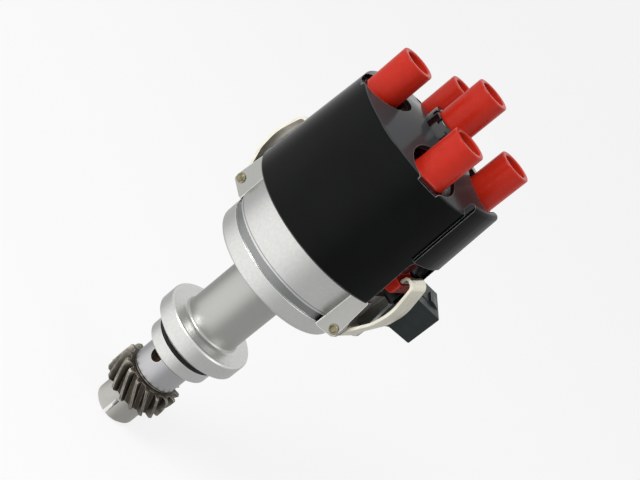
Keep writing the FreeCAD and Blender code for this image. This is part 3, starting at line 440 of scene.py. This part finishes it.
class Finish:
    """A material under construction: its tree, its shader and what feeds the shader."""

    def __init__(self, name, colour, metallic, roughness):
        self.material = bpy.data.materials.new(name)
        self.material.use_nodes = True
        self.material.diffuse_color = opaque(colour)
        self.tree = self.material.node_tree
        self.shader = self.tree.nodes["Principled BSDF"]
        self.shader.inputs["Base Color"].default_value = opaque(colour)
        self.shader.inputs["Metallic"].default_value = metallic
        self.shader.inputs["Roughness"].default_value = roughness

    def set(self, socket, value):
        """Plain value on the shader's own socket."""
        self.shader.inputs[socket].default_value = value

    def mix_in(self, mask, colour):
        """Mix node that turns to the colour where the mask says, and the socket for what it covers."""
        mix = self.tree.nodes.new("ShaderNodeMix")
        mix.data_type = "RGBA"
        self.tree.links.new(mask, mix.inputs[MIX_FACTOR])
        mix.inputs[MIX_SECOND].default_value = opaque(colour)
        return mix, mix.inputs[MIX_FIRST]

    def mix_colour(self, mask, first, second):
        """Base colour that changes from the first to the second with a mask."""
        mix, covered = self.mix_in(mask, second)
        covered.default_value = opaque(first)
        self.tree.links.new(mix.outputs[MIX_RESULT], self.shader.inputs["Base Color"])

    def lay_over(self, mask, colour):
        """A second colour over what the base colour is so far, where the mask says."""
        base = self.shader.inputs["Base Color"]
        mix, covered = self.mix_in(mask, colour)
        self.tree.links.new(base.links[0].from_socket, covered)
        self.tree.links.new(mix.outputs[MIX_RESULT], base)

    def vary_roughness(self, mask, low, high):
        """Roughness that goes from low to high with a mask."""
        node = self.tree.nodes.new("ShaderNodeMapRange")
        node.inputs["To Min"].default_value = low
        node.inputs["To Max"].default_value = high
        self.tree.links.new(mask, node.inputs["Value"])
        self.tree.links.new(node.outputs[0], self.shader.inputs["Roughness"])

    def bump(self, height, depth_mm, strength):
        """Relief over any that is there already."""
        node = self.tree.nodes.new("ShaderNodeBump")
        node.inputs["Strength"].default_value = strength
        node.inputs["Distance"].default_value = depth_mm * MM
        previous = self.shader.inputs["Normal"]
        if previous.is_linked:
            self.tree.links.new(previous.links[0].from_socket, node.inputs["Normal"])
        self.tree.links.new(height, node.inputs["Height"])
        self.tree.links.new(node.outputs["Normal"], self.shader.inputs["Normal"])


def give(finish, *names):
    """Puts one finish on whole frame nodes."""
    for name in names:
        slots = frame["nodes"][name].material_slots
        if not slots:
            frame["nodes"][name].data.materials.append(finish.material)
        for slot in slots:
            slot.material = finish.material


def scaled(colour, share):
    """Colour made darker, or brighter with a share above 1."""
    return tuple(channel * share for channel in colour)


CLIP_AZIMUTHS = (math.radians(-20.0), math.radians(160.0))
BEAD_ARCS = ((36.5, 140.3), (176.7, 320.3), (356.7, 363.5))  # degrees, clear of connector and clips
MERGE_DISTANCE = 0.005 * MM
BEAD_SIDES = 12
BEAD_STEP = 2.0  # degrees
BEAD_SHARE = 0.2
CAP_SIDES = 40
CAP_TAPER = 0.8  # width of a cap's dome at its top by that at its foot
FACING = 0.9  # least cosine between a face's normal and the way it faces


def deselect():
    """Nothing selected, so that the next operator acts on one piece only."""
    bpy.ops.object.select_all(action="DESELECT")


def begin_edit(piece):
    """Edit mode on one piece with all of its mesh selected."""
    deselect()
    piece.select_set(True)
    bpy.context.view_layer.objects.active = piece
    bpy.ops.object.mode_set(mode="EDIT")
    bpy.ops.mesh.select_all(action="SELECT")


def end_edit():
    """Closed shell with clean outward faces, back in object mode."""
    bpy.ops.mesh.select_all(action="SELECT")
    bpy.ops.mesh.remove_doubles(threshold=MERGE_DISTANCE)
    bpy.ops.mesh.normals_make_consistent(inside=False)
    bpy.ops.object.mode_set(mode="OBJECT")


def settle(piece):
    """Place, turn and size of the object moved into its mesh."""
    deselect()
    piece.select_set(True)
    bpy.context.view_layer.objects.active = piece
    bpy.ops.object.transform_apply(location=True, rotation=True, scale=True)


def select_faces(piece, wanted):
    """Edit mode with only those faces selected whose normal the test accepts."""
    bpy.ops.mesh.select_mode(type="FACE")
    bpy.ops.mesh.select_all(action="DESELECT")
    bpy.ops.object.mode_set(mode="OBJECT")
    for face in piece.data.polygons:
        face.select = wanted(face.normal)
    bpy.ops.object.mode_set(mode="EDIT")


def shade_smooth(piece, degrees):
    """Smooth shading over all edges flatter than the angle."""
    deselect()
    piece.select_set(True)
    bpy.ops.object.shade_smooth_by_angle(angle=math.radians(degrees))


def soften(piece, width):
    """Rounded edges and smooth shading between them."""
    bevel = piece.modifiers.new("soft edges", "BEVEL")
    bevel.width = width
    bevel.segments = 2
    bevel.limit_method = "ANGLE"
    bpy.context.view_layer.objects.active = piece
    bpy.ops.object.modifier_apply(modifier=bevel.name)
    shade_smooth(piece, degrees=40.0)


def join_pieces(pieces, name):
    """One named piece out of several."""
    deselect()
    for piece in pieces:
        piece.select_set(True)
    bpy.context.view_layer.objects.active = pieces[0]
    bpy.ops.object.join()
    joined = bpy.context.active_object
    joined.name = name
    joined.data.name = name
    return joined


def around(azimuth, radius, side=0.0):
    """Point at a radius and azimuth, moved sideways along the circle's tangent."""
    outward = Vector((math.cos(azimuth), math.sin(azimuth), 0.0))
    tangent = Vector((-math.sin(azimuth), math.cos(azimuth), 0.0))
    return outward * radius + tangent * side


class DISTRIBUTOR_OT_foot_bead(bpy.types.Operator):
    """Fine bead round the foot of the cover, broken at the clips and the connector"""
    bl_idname = "distributor.foot_bead"
    bl_label = "Run the foot bead"

    def execute(self, context):
        size = context.scene.distributor.bead
        runs = [self.run_of_bead(size, math.radians(low), math.radians(high)) for low, high in BEAD_ARCS]
        bead = join_pieces(runs, "cover_foot_bead")
        shade_smooth(bead, degrees=50.0)
        look = context.scene.distributor.cover
        # Painted highlight: the bead's lighter patches take a share of the edge highlight colour.
        bead_highlight = scaled(look.edge_highlight, BEAD_SHARE)
        gloss = Finish("glossy bead with painted highlight", bead_highlight, metallic=0.0, roughness=look.roughness)
        skin = place_group(gloss.tree, "skin grain", grain_size=0.6 * MM, patch_size=5 * MM)
        gloss.mix_colour(skin.outputs["Mottle"], bead_highlight, look.colour)
        gloss.bump(skin.outputs["Height"], depth_mm=0.004, strength=0.4)
        bead.data.materials.append(gloss.material)
        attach(bead, "housing")
        return {"FINISHED"}

    def run_of_bead(self, size, low, high):
        """Round section swept along one arc, with both ends closed."""
        place = around(low, size.radius) + Vector((0, 0, size.height))
        bpy.ops.mesh.primitive_circle_add(vertices=BEAD_SIDES, radius=size.thickness, fill_type="NOTHING",
                                          location=place, rotation=(math.pi / 2, 0, low))
        run = bpy.context.active_object
        settle(run)
        begin_edit(run)
        steps = max(4, round(math.degrees(high - low) / BEAD_STEP))
        bpy.ops.mesh.spin(steps=steps, angle=low - high, center=(0, 0, 0), axis=(0, 0, 1))
        bpy.ops.mesh.select_all(action="SELECT")
        bpy.ops.mesh.fill_holes(sides=0)
        end_edit()
        return run


class DISTRIBUTOR_OT_pivot_caps(bpy.types.Operator):
    """Plated push-on caps over the ends of the pivot pins"""
    bl_idname = "distributor.pivot_caps"
    bl_label = "Press on the pivot caps"

    def execute(self, context):
        size = context.scene.distributor.pivot_caps
        first = self.pressed_cap(size)
        caps = []
        for azimuth in CLIP_AZIMUTHS:
            for side in (-1, 1):
                cap = first.copy()
                cap.data = first.data.copy()
                context.collection.objects.link(cap)
                cap.rotation_euler = (0, 0, azimuth if side > 0 else azimuth + math.pi)
                cap.location = around(azimuth, size.pivot_radius, side * size.rib_face)
                cap.location.z = size.pivot_height
                settle(cap)
                caps.append(cap)
        bpy.data.objects.remove(first)
        pressed = join_pieces(caps, "pivot_caps")
        look = context.scene.distributor.clips
        plated = Finish("olive plated cap", look.pin_colour, metallic=1.0, roughness=0.38)
        skin = place_group(plated.tree, "skin grain", grain_size=0.3 * MM, patch_size=2 * MM)
        plated.mix_colour(skin.outputs["Mottle"], look.pin_colour, scaled(look.pin_colour, 0.45))
        plated.bump(skin.outputs["Height"], depth_mm=0.02, strength=0.5)
        pressed.data.materials.append(plated.material)
        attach(pressed, "housing")
        return {"FINISHED"}

    def pressed_cap(self, size):
        """One cap along +Y: a flat margin with a dome in its middle."""
        bpy.ops.mesh.primitive_cylinder_add(vertices=CAP_SIDES, radius=size.radius,
                                            depth=size.thickness / 2, location=(0, size.thickness / 4, 0),
                                            rotation=(-math.pi / 2, 0, 0))
        cap = bpy.context.active_object
        settle(cap)
        begin_edit(cap)
        select_faces(cap, lambda normal: normal.y > FACING)
        bpy.ops.mesh.inset(thickness=size.dome, depth=0)
        raised = (0, size.thickness / 2, 0)
        bpy.ops.mesh.extrude_region_move(TRANSFORM_OT_translate={"value": raised})
        bpy.ops.transform.resize(value=(CAP_TAPER, 1.0, CAP_TAPER),
                                 center_override=(0, size.thickness, 0))
        end_edit()
        soften(cap, width=0.12 * MM)
        return cap


class DISTRIBUTOR_OT_casting(bpy.types.Operator):
    """Blasted cast aluminium on the housing"""
    bl_idname = "distributor.casting"
    bl_label = "Finish the casting"

    def execute(self, context):
        look = context.scene.distributor.casting
        cast = Finish("blasted cast aluminium", look.colour, metallic=1.0, roughness=look.roughness)
        skin = place_group(cast.tree, "skin grain", grain_size=look.grain, patch_size=1.3 * MM)
        turned = place_group(cast.tree, "lathe marks", pitch=0.5 * MM, unevenness=0.8)
        cast.mix_colour(skin.outputs["Mottle"], look.colour, look.shade)
        neck = place_group(cast.tree, "height band", low=look.neck_low, high=look.neck_top,
                           radius=look.neck_radius)
        cast.lay_over(neck.outputs["Mask"], look.neck_colour)
        # Painted shade: the clip ears' cheeks beyond the bowl's wall are darkened.
        ears = ramp(cast.tree, neck.outputs["Distance"], look.ear_inner, look.ear_inner + look.ear_fade)
        cast.lay_over(ears, look.ear_shade)
        spigot = place_group(cast.tree, "height band", low=-look.spigot_foot, high=-look.spigot_top,
                             radius=look.spigot_radius)
        cast.lay_over(spigot.outputs["Mask"], look.spigot_colour)
        # Painted shade in the groove round the bowl, and along the fine score drawn above it.
        groove = place_group(cast.tree, "height band", low=look.groove_low, high=look.groove_top,
                             radius=look.groove_radius)
        cast.lay_over(groove.outputs["Mask"], look.groove_shade)
        score_low = look.groove_top + look.score_rise
        score = place_group(cast.tree, "height band", low=score_low, high=score_low + look.score_width,
                            radius=look.score_radius)
        cast.lay_over(score.outputs["Mask"], look.groove_shade)
        # Painted highlight along the casting's edges.
        edges = place_group(cast.tree, "edge highlight", width=0.5 * MM, patchiness=0.0)
        cast.lay_over(edges.outputs["Mask"], look.edge_highlight)
        cast.vary_roughness(skin.outputs["Mottle"], look.roughness, look.roughness + 0.08)
        cast.bump(skin.outputs["Height"], depth_mm=0.03, strength=0.5)
        cast.bump(turned.outputs["Height"], depth_mm=0.01, strength=0.3)
        give(cast, "housing")
        return {"FINISHED"}


class DISTRIBUTOR_OT_cover(bpy.types.Operator):
    """Glossy black cover and its push-on ring"""
    bl_idname = "distributor.cover"
    bl_label = "Finish the cover"

    def execute(self, context):
        look = context.scene.distributor.cover
        gloss = Finish("glossy black moulding", look.colour, metallic=0.0, roughness=look.roughness)
        skin = place_group(gloss.tree, "skin grain", grain_size=1.2 * MM, patch_size=18 * MM)
        gloss.vary_roughness(skin.outputs["Mottle"], look.roughness, look.roughness + 0.07)
        gloss.mix_colour(skin.outputs["Mottle"], look.colour, scaled(look.colour, 1.5))
        gloss.bump(skin.outputs["Height"], depth_mm=0.004, strength=0.4)
        gloss.set("Specular IOR Level", 0.09)
        # Painted reflection laid as a lighter grey on the cover's top.
        reflection_end = look.top_height + look.top_reach
        reflection_band = place_group(gloss.tree, "height band", low=look.top_height, high=reflection_end,
                           radius=look.top_radius)
        gloss.lay_over(reflection_band.outputs["Mask"], look.top_reflection)
        # Painted highlight along the cover's edges, broken in patches.
        edges = place_group(gloss.tree, "edge highlight", width=0.45 * MM, patchiness=0.35)
        gloss.lay_over(edges.outputs["Mask"], look.edge_highlight)
        give(gloss, "cap_shroud")
        ring = Finish("satin black ring", look.ring_colour, metallic=0.0, roughness=look.roughness + 0.03)
        skin = place_group(ring.tree, "skin grain", grain_size=0.4 * MM, patch_size=6 * MM)
        ring.mix_colour(skin.outputs["Mottle"], look.ring_colour, scaled(look.ring_colour, 0.6))
        ring.bump(skin.outputs["Height"], depth_mm=0.01, strength=0.5)
        ring.set("Specular IOR Level", 0.7)
        give(ring, "shroud_retainer")
        return {"FINISHED"}


class DISTRIBUTOR_OT_cap(bpy.types.Operator):
    """Red moulded cap with its towers"""
    bl_idname = "distributor.cap"
    bl_label = "Finish the cap"

    def execute(self, context):
        look = context.scene.distributor.cap
        red = Finish("red moulding", look.colour, metallic=0.0, roughness=look.roughness)
        skin = place_group(red.tree, "skin grain", grain_size=0.5 * MM, patch_size=3 * MM)
        red.mix_colour(skin.outputs["Mottle"], look.colour, look.shade)
        red.vary_roughness(skin.outputs["Mottle"], look.roughness, look.roughness + 0.12)
        red.bump(skin.outputs["Height"], depth_mm=0.012, strength=0.6)
        red.set("Specular IOR Level", 0.19)
        # Painted highlight on the cap's rims and edges, in patches.
        edges = place_group(red.tree, "edge highlight", width=0.7 * MM, patchiness=0.3)
        red.lay_over(edges.outputs["Mask"], look.edge_highlight)
        # Painted shade: the red body under the cover, from the lugs' tops to the towers' feet, is
        # darkened.
        depth = place_group(red.tree, "height band", low=look.depth_low, high=look.depth_top,
                            radius=look.depth_radius)
        red.lay_over(depth.outputs["Mask"], look.under_cover_shade)
        give(red, "distributor_cap")
        return {"FINISHED"}


class DISTRIBUTOR_OT_clips(bpy.types.Operator):
    """Bright spring clips on plated pins"""
    bl_idname = "distributor.clips"
    bl_label = "Finish the clips"

    def execute(self, context):
        look = context.scene.distributor.clips
        strip = Finish("bright rolled steel", look.colour, metallic=1.0, roughness=look.roughness)
        lines = place_group(strip.tree, "rolled lines", line_width=0.15 * MM)
        strip.mix_colour(lines.outputs["Streak"], look.colour, scaled(look.colour, 0.84))
        strip.vary_roughness(lines.outputs["Streak"], look.roughness, look.roughness + 0.12)
        strip.bump(lines.outputs["Height"], depth_mm=0.01, strength=0.5)
        give(strip, "clip_right", "clip_left", "brush_spring", "retaining_ring")
        pins = Finish("plated pin steel", look.pin_colour, metallic=1.0, roughness=0.42)
        skin = place_group(pins.tree, "skin grain", grain_size=0.3 * MM, patch_size=2.5 * MM)
        pins.mix_colour(skin.outputs["Mottle"], look.pin_colour, scaled(look.pin_colour, 0.55))
        pins.bump(skin.outputs["Height"], depth_mm=0.02, strength=0.5)
        give(pins, "clip_pivots")
        return {"FINISHED"}


class DISTRIBUTOR_OT_drive(bpy.types.Operator):
    """Turned shaft with its washer, bushes, pin and hobbed gear"""
    bl_idname = "distributor.drive"
    bl_label = "Finish the drive"

    def execute(self, context):
        look = context.scene.distributor.drive
        gear = Finish("oiled gear steel", look.gear_colour, metallic=1.0, roughness=look.roughness)
        skin = place_group(gear.tree, "skin grain", grain_size=0.25 * MM, patch_size=3 * MM)
        turned = place_group(gear.tree, "lathe marks", pitch=0.3 * MM, unevenness=0.6)
        gear.mix_colour(skin.outputs["Mottle"], look.gear_colour, scaled(look.gear_colour, 0.5))
        gear.vary_roughness(skin.outputs["Mottle"], look.roughness, look.roughness + 0.16)
        hub = place_group(gear.tree, "height band", low=-look.end_foot, high=-look.end_top,
                          radius=look.end_radius)
        # Painted shade between the teeth, darker towards the root.
        gap_shade_mask = ramp(gear.tree, hub.outputs["Distance"], look.tip_radius, look.gap_radius)
        gear.lay_over(gap_shade_mask, look.gap_shade)
        # Painted highlight on the teeth's edges, in patches.
        edges = place_group(gear.tree, "edge highlight", width=0.5 * MM, patchiness=0.6)
        gear.lay_over(edges.outputs["Mask"], look.tip_highlight)
        gear.lay_over(hub.outputs["Mask"], look.end_colour)
        gear.bump(turned.outputs["Height"], depth_mm=0.01, strength=0.4)
        gear.bump(skin.outputs["Height"], depth_mm=0.02, strength=0.5)
        give(gear, "drive_gear")
        steel = Finish("turned steel", look.shaft_colour, metallic=1.0, roughness=0.28)
        turned = place_group(steel.tree, "lathe marks", pitch=0.25 * MM, unevenness=0.5)
        steel.mix_colour(turned.outputs["Sheen"], look.shaft_colour, scaled(look.shaft_colour, 0.8))
        steel.vary_roughness(turned.outputs["Sheen"], low=0.24, high=0.36)
        steel.bump(turned.outputs["Height"], depth_mm=0.008, strength=0.5)
        give(steel, "drive_shaft", "gear_pin", "upper_shim")
        washer = Finish("bright washer steel", look.washer_colour, metallic=1.0, roughness=0.3)
        turned = place_group(washer.tree, "lathe marks", pitch=0.15 * MM, unevenness=0.6)
        washer.mix_colour(turned.outputs["Sheen"], look.washer_colour, scaled(look.washer_colour, 0.85))
        washer.bump(turned.outputs["Height"], depth_mm=0.006, strength=0.4)
        give(washer, "thrust_washer")
        bronze = Finish("sintered bronze", look.bronze_colour, metallic=1.0, roughness=0.5)
        skin = place_group(bronze.tree, "skin grain", grain_size=0.2 * MM, patch_size=1.5 * MM)
        bronze.mix_colour(skin.outputs["Mottle"], look.bronze_colour, scaled(look.bronze_colour, 0.5))
        bronze.bump(skin.outputs["Height"], depth_mm=0.03, strength=0.7)
        give(bronze, "upper_bush", "lower_bush")
        return {"FINISHED"}


class DISTRIBUTOR_OT_sender(bpy.types.Operator):
    """Connector, pins, sensor, plate, screws and vane wheel"""
    bl_idname = "distributor.sender"
    bl_label = "Finish the sender"

    def execute(self, context):
        look = context.scene.distributor.sender
        shell = Finish("dark satin moulding", look.colour, metallic=0.0, roughness=0.42)
        skin = place_group(shell.tree, "skin grain", grain_size=0.3 * MM, patch_size=5 * MM)
        shell.mix_colour(skin.outputs["Mottle"], look.colour, scaled(look.colour, 0.6))
        shell.vary_roughness(skin.outputs["Mottle"], low=0.36, high=0.5)
        shell.bump(skin.outputs["Height"], depth_mm=0.02, strength=0.6)
        shell.set("Specular IOR Level", 0.3)
        # Painted highlight along the connector's edges, in patches.
        edges = place_group(shell.tree, "edge highlight", width=0.5 * MM, patchiness=0.4)
        shell.lay_over(edges.outputs["Mask"], look.edge_highlight)
        give(shell, "connector_housing", "hall_sensor", "dust_shield")
        plated = Finish("yellow zinc plating", look.plated_colour, metallic=1.0, roughness=0.4)
        skin = place_group(plated.tree, "skin grain", grain_size=0.3 * MM, patch_size=4 * MM)
        plated.mix_colour(skin.outputs["Mottle"], look.plated_colour, scaled(look.plated_colour, 0.7))
        plated.vary_roughness(skin.outputs["Mottle"], low=0.34, high=0.5)
        plated.bump(skin.outputs["Height"], depth_mm=0.01, strength=0.5)
        give(plated, "hall_plate", "plate_screws", "vane_wheel")
        brass = Finish("turned brass", look.brass_colour, metallic=1.0, roughness=0.3)
        turned = place_group(brass.tree, "lathe marks", pitch=0.2 * MM, unevenness=0.5)
        brass.mix_colour(turned.outputs["Sheen"], look.brass_colour, scaled(look.brass_colour, 0.75))
        brass.bump(turned.outputs["Height"], depth_mm=0.006, strength=0.4)
        give(brass, "connector_pins", "outer_terminals", "centre_terminal", "rotor_electrode")
        return {"FINISHED"}


class DISTRIBUTOR_OT_rotor(bpy.types.Operator):
    """Brown rotor and black carbon brush"""
    bl_idname = "distributor.rotor"
    bl_label = "Finish the rotor"

    def execute(self, context):
        look = context.scene.distributor.rotor
        rotor = Finish("brown phenolic", look.colour, metallic=0.0, roughness=0.45)
        skin = place_group(rotor.tree, "skin grain", grain_size=0.4 * MM, patch_size=3 * MM)
        rotor.mix_colour(skin.outputs["Mottle"], look.colour, scaled(look.colour, 0.5))
        rotor.bump(skin.outputs["Height"], depth_mm=0.02, strength=0.5)
        give(rotor, "rotor_arm")
        carbon = Finish("pressed carbon", look.carbon_colour, metallic=0.0, roughness=0.6)
        skin = place_group(carbon.tree, "skin grain", grain_size=0.12 * MM, patch_size=1 * MM)
        carbon.mix_colour(skin.outputs["Mottle"], look.carbon_colour, look.carbon_shade)
        carbon.bump(skin.outputs["Height"], depth_mm=0.02, strength=0.6)
        give(carbon, "carbon_brush")
        return {"FINISHED"}


class DISTRIBUTOR_OT_seals(bpy.types.Operator):
    """Rubber of the O-ring and the shaft seal"""
    bl_idname = "distributor.seals"
    bl_label = "Finish the seals"

    def execute(self, context):
        look = context.scene.distributor.seals
        rubber = Finish("seal rubber", slot_colour("rubber"), metallic=0.0, roughness=0.5)
        skin = place_group(rubber.tree, "skin grain", grain_size=0.2 * MM, patch_size=2 * MM)
        rubber.mix_colour(skin.outputs["Mottle"], look.colour, look.shade)
        rubber.vary_roughness(skin.outputs["Mottle"], low=0.42, high=0.6)
        rubber.bump(skin.outputs["Height"], depth_mm=0.015, strength=0.5)
        rubber.set("Specular IOR Level", 0.15)
        give(rubber, "o_ring", "shaft_seal")
        return {"FINISHED"}


BRIGHT_START = 0.25  # cosine of the angle to the bright side at which the brightness starts to rise
KEY_PLACE = (-0.55, -0.55, 0.65)
KEY_SIZE = 0.5
FILL_PLACE = (0.7, -0.35, 0.35)
FILL_SIZE = 0.6
SENSOR_WIDTH = 36.0  # millimetres, as the lens is given
CLIP_START = 0.01


def add_lamp(name, power, size, place, aim):
    """Round soft lamp that faces the aim point."""
    bpy.ops.object.light_add(type="AREA", location=place)
    lamp = bpy.context.active_object
    lamp.name = name
    lamp.data.energy = power
    lamp.data.shape = "DISK"
    lamp.data.size = size
    lamp.rotation_euler = (Vector(place) - Vector(aim)).to_track_quat("Z", "Y").to_euler()


def rays_that_see(tree):
    """1 for the rays that show a background: the camera's, and those in metal and glass."""
    path = tree.nodes.new("ShaderNodeLightPath")
    return math_node(tree, "MAXIMUM", path.outputs["Is Camera Ray"],
                     math_node(tree, "MAXIMUM", path.outputs["Is Glossy Ray"],
                               path.outputs["Is Transmission Ray"]))


def pale_world(level):
    """White to look at and in reflections, and an even light of the given level."""
    world = bpy.data.worlds.new("studio")
    bpy.context.scene.world = world
    world.use_nodes = True
    tree = world.node_tree
    background = tree.nodes["Background"]
    background.inputs["Color"].default_value = (1.0, 1.0, 1.0, 1.0)
    spread = tree.nodes.new("ShaderNodeMapRange")
    spread.inputs["To Min"].default_value = level
    spread.inputs["To Max"].default_value = 1.0
    tree.links.new(rays_that_see(tree), spread.inputs["Value"])
    tree.links.new(spread.outputs[0], background.inputs["Strength"])


def bright_side(tree, towards, low, high):
    """Brightness of the floor in reflections: highest on one side, which gives metal its shape."""
    flat = tree.nodes.new("ShaderNodeVectorMath")
    flat.operation = "MULTIPLY"
    flat.inputs[1].default_value = (1.0, 1.0, 0.0)
    tree.links.new(object_place(tree), flat.inputs[0])
    unit = tree.nodes.new("ShaderNodeVectorMath")
    unit.operation = "NORMALIZE"
    tree.links.new(flat.outputs[0], unit.inputs[0])
    lean = tree.nodes.new("ShaderNodeVectorMath")
    lean.operation = "DOT_PRODUCT"
    lean.inputs[1].default_value = (math.cos(towards), math.sin(towards), 0.0)
    tree.links.new(unit.outputs[0], lean.inputs[0])
    spread = tree.nodes.new("ShaderNodeMapRange")
    spread.interpolation_type = "SMOOTHSTEP"
    spread.inputs["From Min"].default_value = BRIGHT_START
    spread.inputs["To Min"].default_value = low
    spread.inputs["To Max"].default_value = high
    tree.links.new(lean.outputs["Value"], spread.inputs["Value"])
    return spread.outputs[0]


def pale_floor(look):
    """Matt floor, most of which is plain white to look at, with a faint shadow left."""
    pale = Finish("pale floor", look.floor_colour, metallic=0.0, roughness=0.8)
    pale.set("Specular IOR Level", 0.1)
    tree = pale.tree
    path = tree.nodes.new("ShaderNodeLightPath")
    seen = math_node(tree, "MAXIMUM", path.outputs["Is Camera Ray"], path.outputs["Is Transmission Ray"])
    mirrored = path.outputs["Is Glossy Ray"]
    share = math_node(tree, "MAXIMUM", math_node(tree, "MULTIPLY", seen, look.floor_white), mirrored)
    side = bright_side(tree, look.bright_azimuth, look.dull_level, look.bright_level)
    extra = math_node(tree, "MULTIPLY", mirrored, math_node(tree, "SUBTRACT", side, 1.0))
    white = tree.nodes.new("ShaderNodeEmission")
    tree.links.new(math_node(tree, "ADD", 1.0, extra), white.inputs["Strength"])
    mix = tree.nodes.new("ShaderNodeMixShader")
    tree.links.new(share, mix.inputs[0])
    tree.links.new(pale.shader.outputs[0], mix.inputs[1])
    tree.links.new(white.outputs[0], mix.inputs[2])
    tree.links.new(mix.outputs[0], tree.nodes["Material Output"].inputs["Surface"])
    return pale


class DISTRIBUTOR_OT_stage(bpy.types.Operator):
    """Pale floor, soft light and the camera at the photograph's angle"""
    bl_idname = "distributor.stage"
    bl_label = "Set the stage"

    def execute(self, context):
        look = context.scene.distributor.stage
        bpy.ops.mesh.primitive_plane_add(size=look.floor_size, location=(0, 0, cad_box[0][2]))
        floor = context.active_object
        floor.name = "floor"
        bpy.ops.object.transform_apply(location=True, rotation=True, scale=True)
        floor.data.materials.append(pale_floor(look).material)
        pale_world(look.world_level)
        middle = Vector((0, 0, look.aim_height))
        add_lamp("key lamp", look.key_power, KEY_SIZE, KEY_PLACE, middle)
        add_lamp("fill lamp", look.fill_power, FILL_SIZE, FILL_PLACE, middle)
        self.add_camera(look, middle)
        context.scene.view_settings.view_transform = "Standard"
        return {"FINISHED"}

    def add_camera(self, look, middle):
        """Camera in front of the part, above it, with the picture leaning to the right."""
        down = look.elevation
        forward = Vector((0, math.cos(down), -math.sin(down)))
        right = Vector((1, 0, 0))
        up = right.cross(forward)
        picture_up = up * math.cos(look.roll) - right * math.sin(look.roll)
        picture_right = right * math.cos(look.roll) + up * math.sin(look.roll)
        bpy.ops.object.camera_add(location=middle - forward * look.camera_distance)
        camera = bpy.context.active_object
        turn = Matrix((picture_right, picture_up, -forward)).transposed()
        camera.rotation_euler = turn.to_euler()
        camera.data.sensor_width = SENSOR_WIDTH
        camera.data.lens = look.lens
        camera.data.shift_x = look.shift
        camera.data.clip_start = CLIP_START
        bpy.context.scene.camera = camera


OPERATORS = (
    DISTRIBUTOR_OT_casting,
    DISTRIBUTOR_OT_cover,
    DISTRIBUTOR_OT_cap,
    DISTRIBUTOR_OT_foot_bead,
    DISTRIBUTOR_OT_clips,
    DISTRIBUTOR_OT_pivot_caps,
    DISTRIBUTOR_OT_drive,
    DISTRIBUTOR_OT_sender,
    DISTRIBUTOR_OT_rotor,
    DISTRIBUTOR_OT_seals,
    DISTRIBUTOR_OT_stage,
)


class DISTRIBUTOR_PT_panel(bpy.types.Panel):
    """Lists the steps in the sidebar"""
    bl_idname = "DISTRIBUTOR_PT_panel"
    bl_label = "Ignition Distributor"
    bl_space_type = "VIEW_3D"
    bl_region_type = "UI"
    bl_category = "Distributor"

    def draw(self, context):
        for operator in OPERATORS:
            self.layout.operator(operator.bl_idname)


SETTINGS = (
    CastingSettings,
    CoverSettings,
    CapSettings,
    BeadSettings,
    PivotCapSettings,
    ClipSettings,
    DriveSettings,
    SenderSettings,
    RotorSettings,
    SealSettings,
    StageSettings,
    DistributorSettings,
)
CLASSES = SETTINGS + OPERATORS + (DISTRIBUTOR_PT_panel,)


def register():
    for item in CLASSES:
        bpy.utils.register_class(item)
    bpy.types.Scene.distributor = bpy.props.PointerProperty(type=DistributorSettings)


def unregister():
    del bpy.types.Scene.distributor
    for item in reversed(CLASSES):
        bpy.utils.unregister_class(item)


def main():
    """Runs every step in order."""
    register()
    bpy.ops.object.select_all(action="DESELECT")
    for operator in OPERATORS:
        group, name = operator.bl_idname.split(".")
        getattr(getattr(bpy.ops, group), name)()


if __name__ == "__main__":
    main()
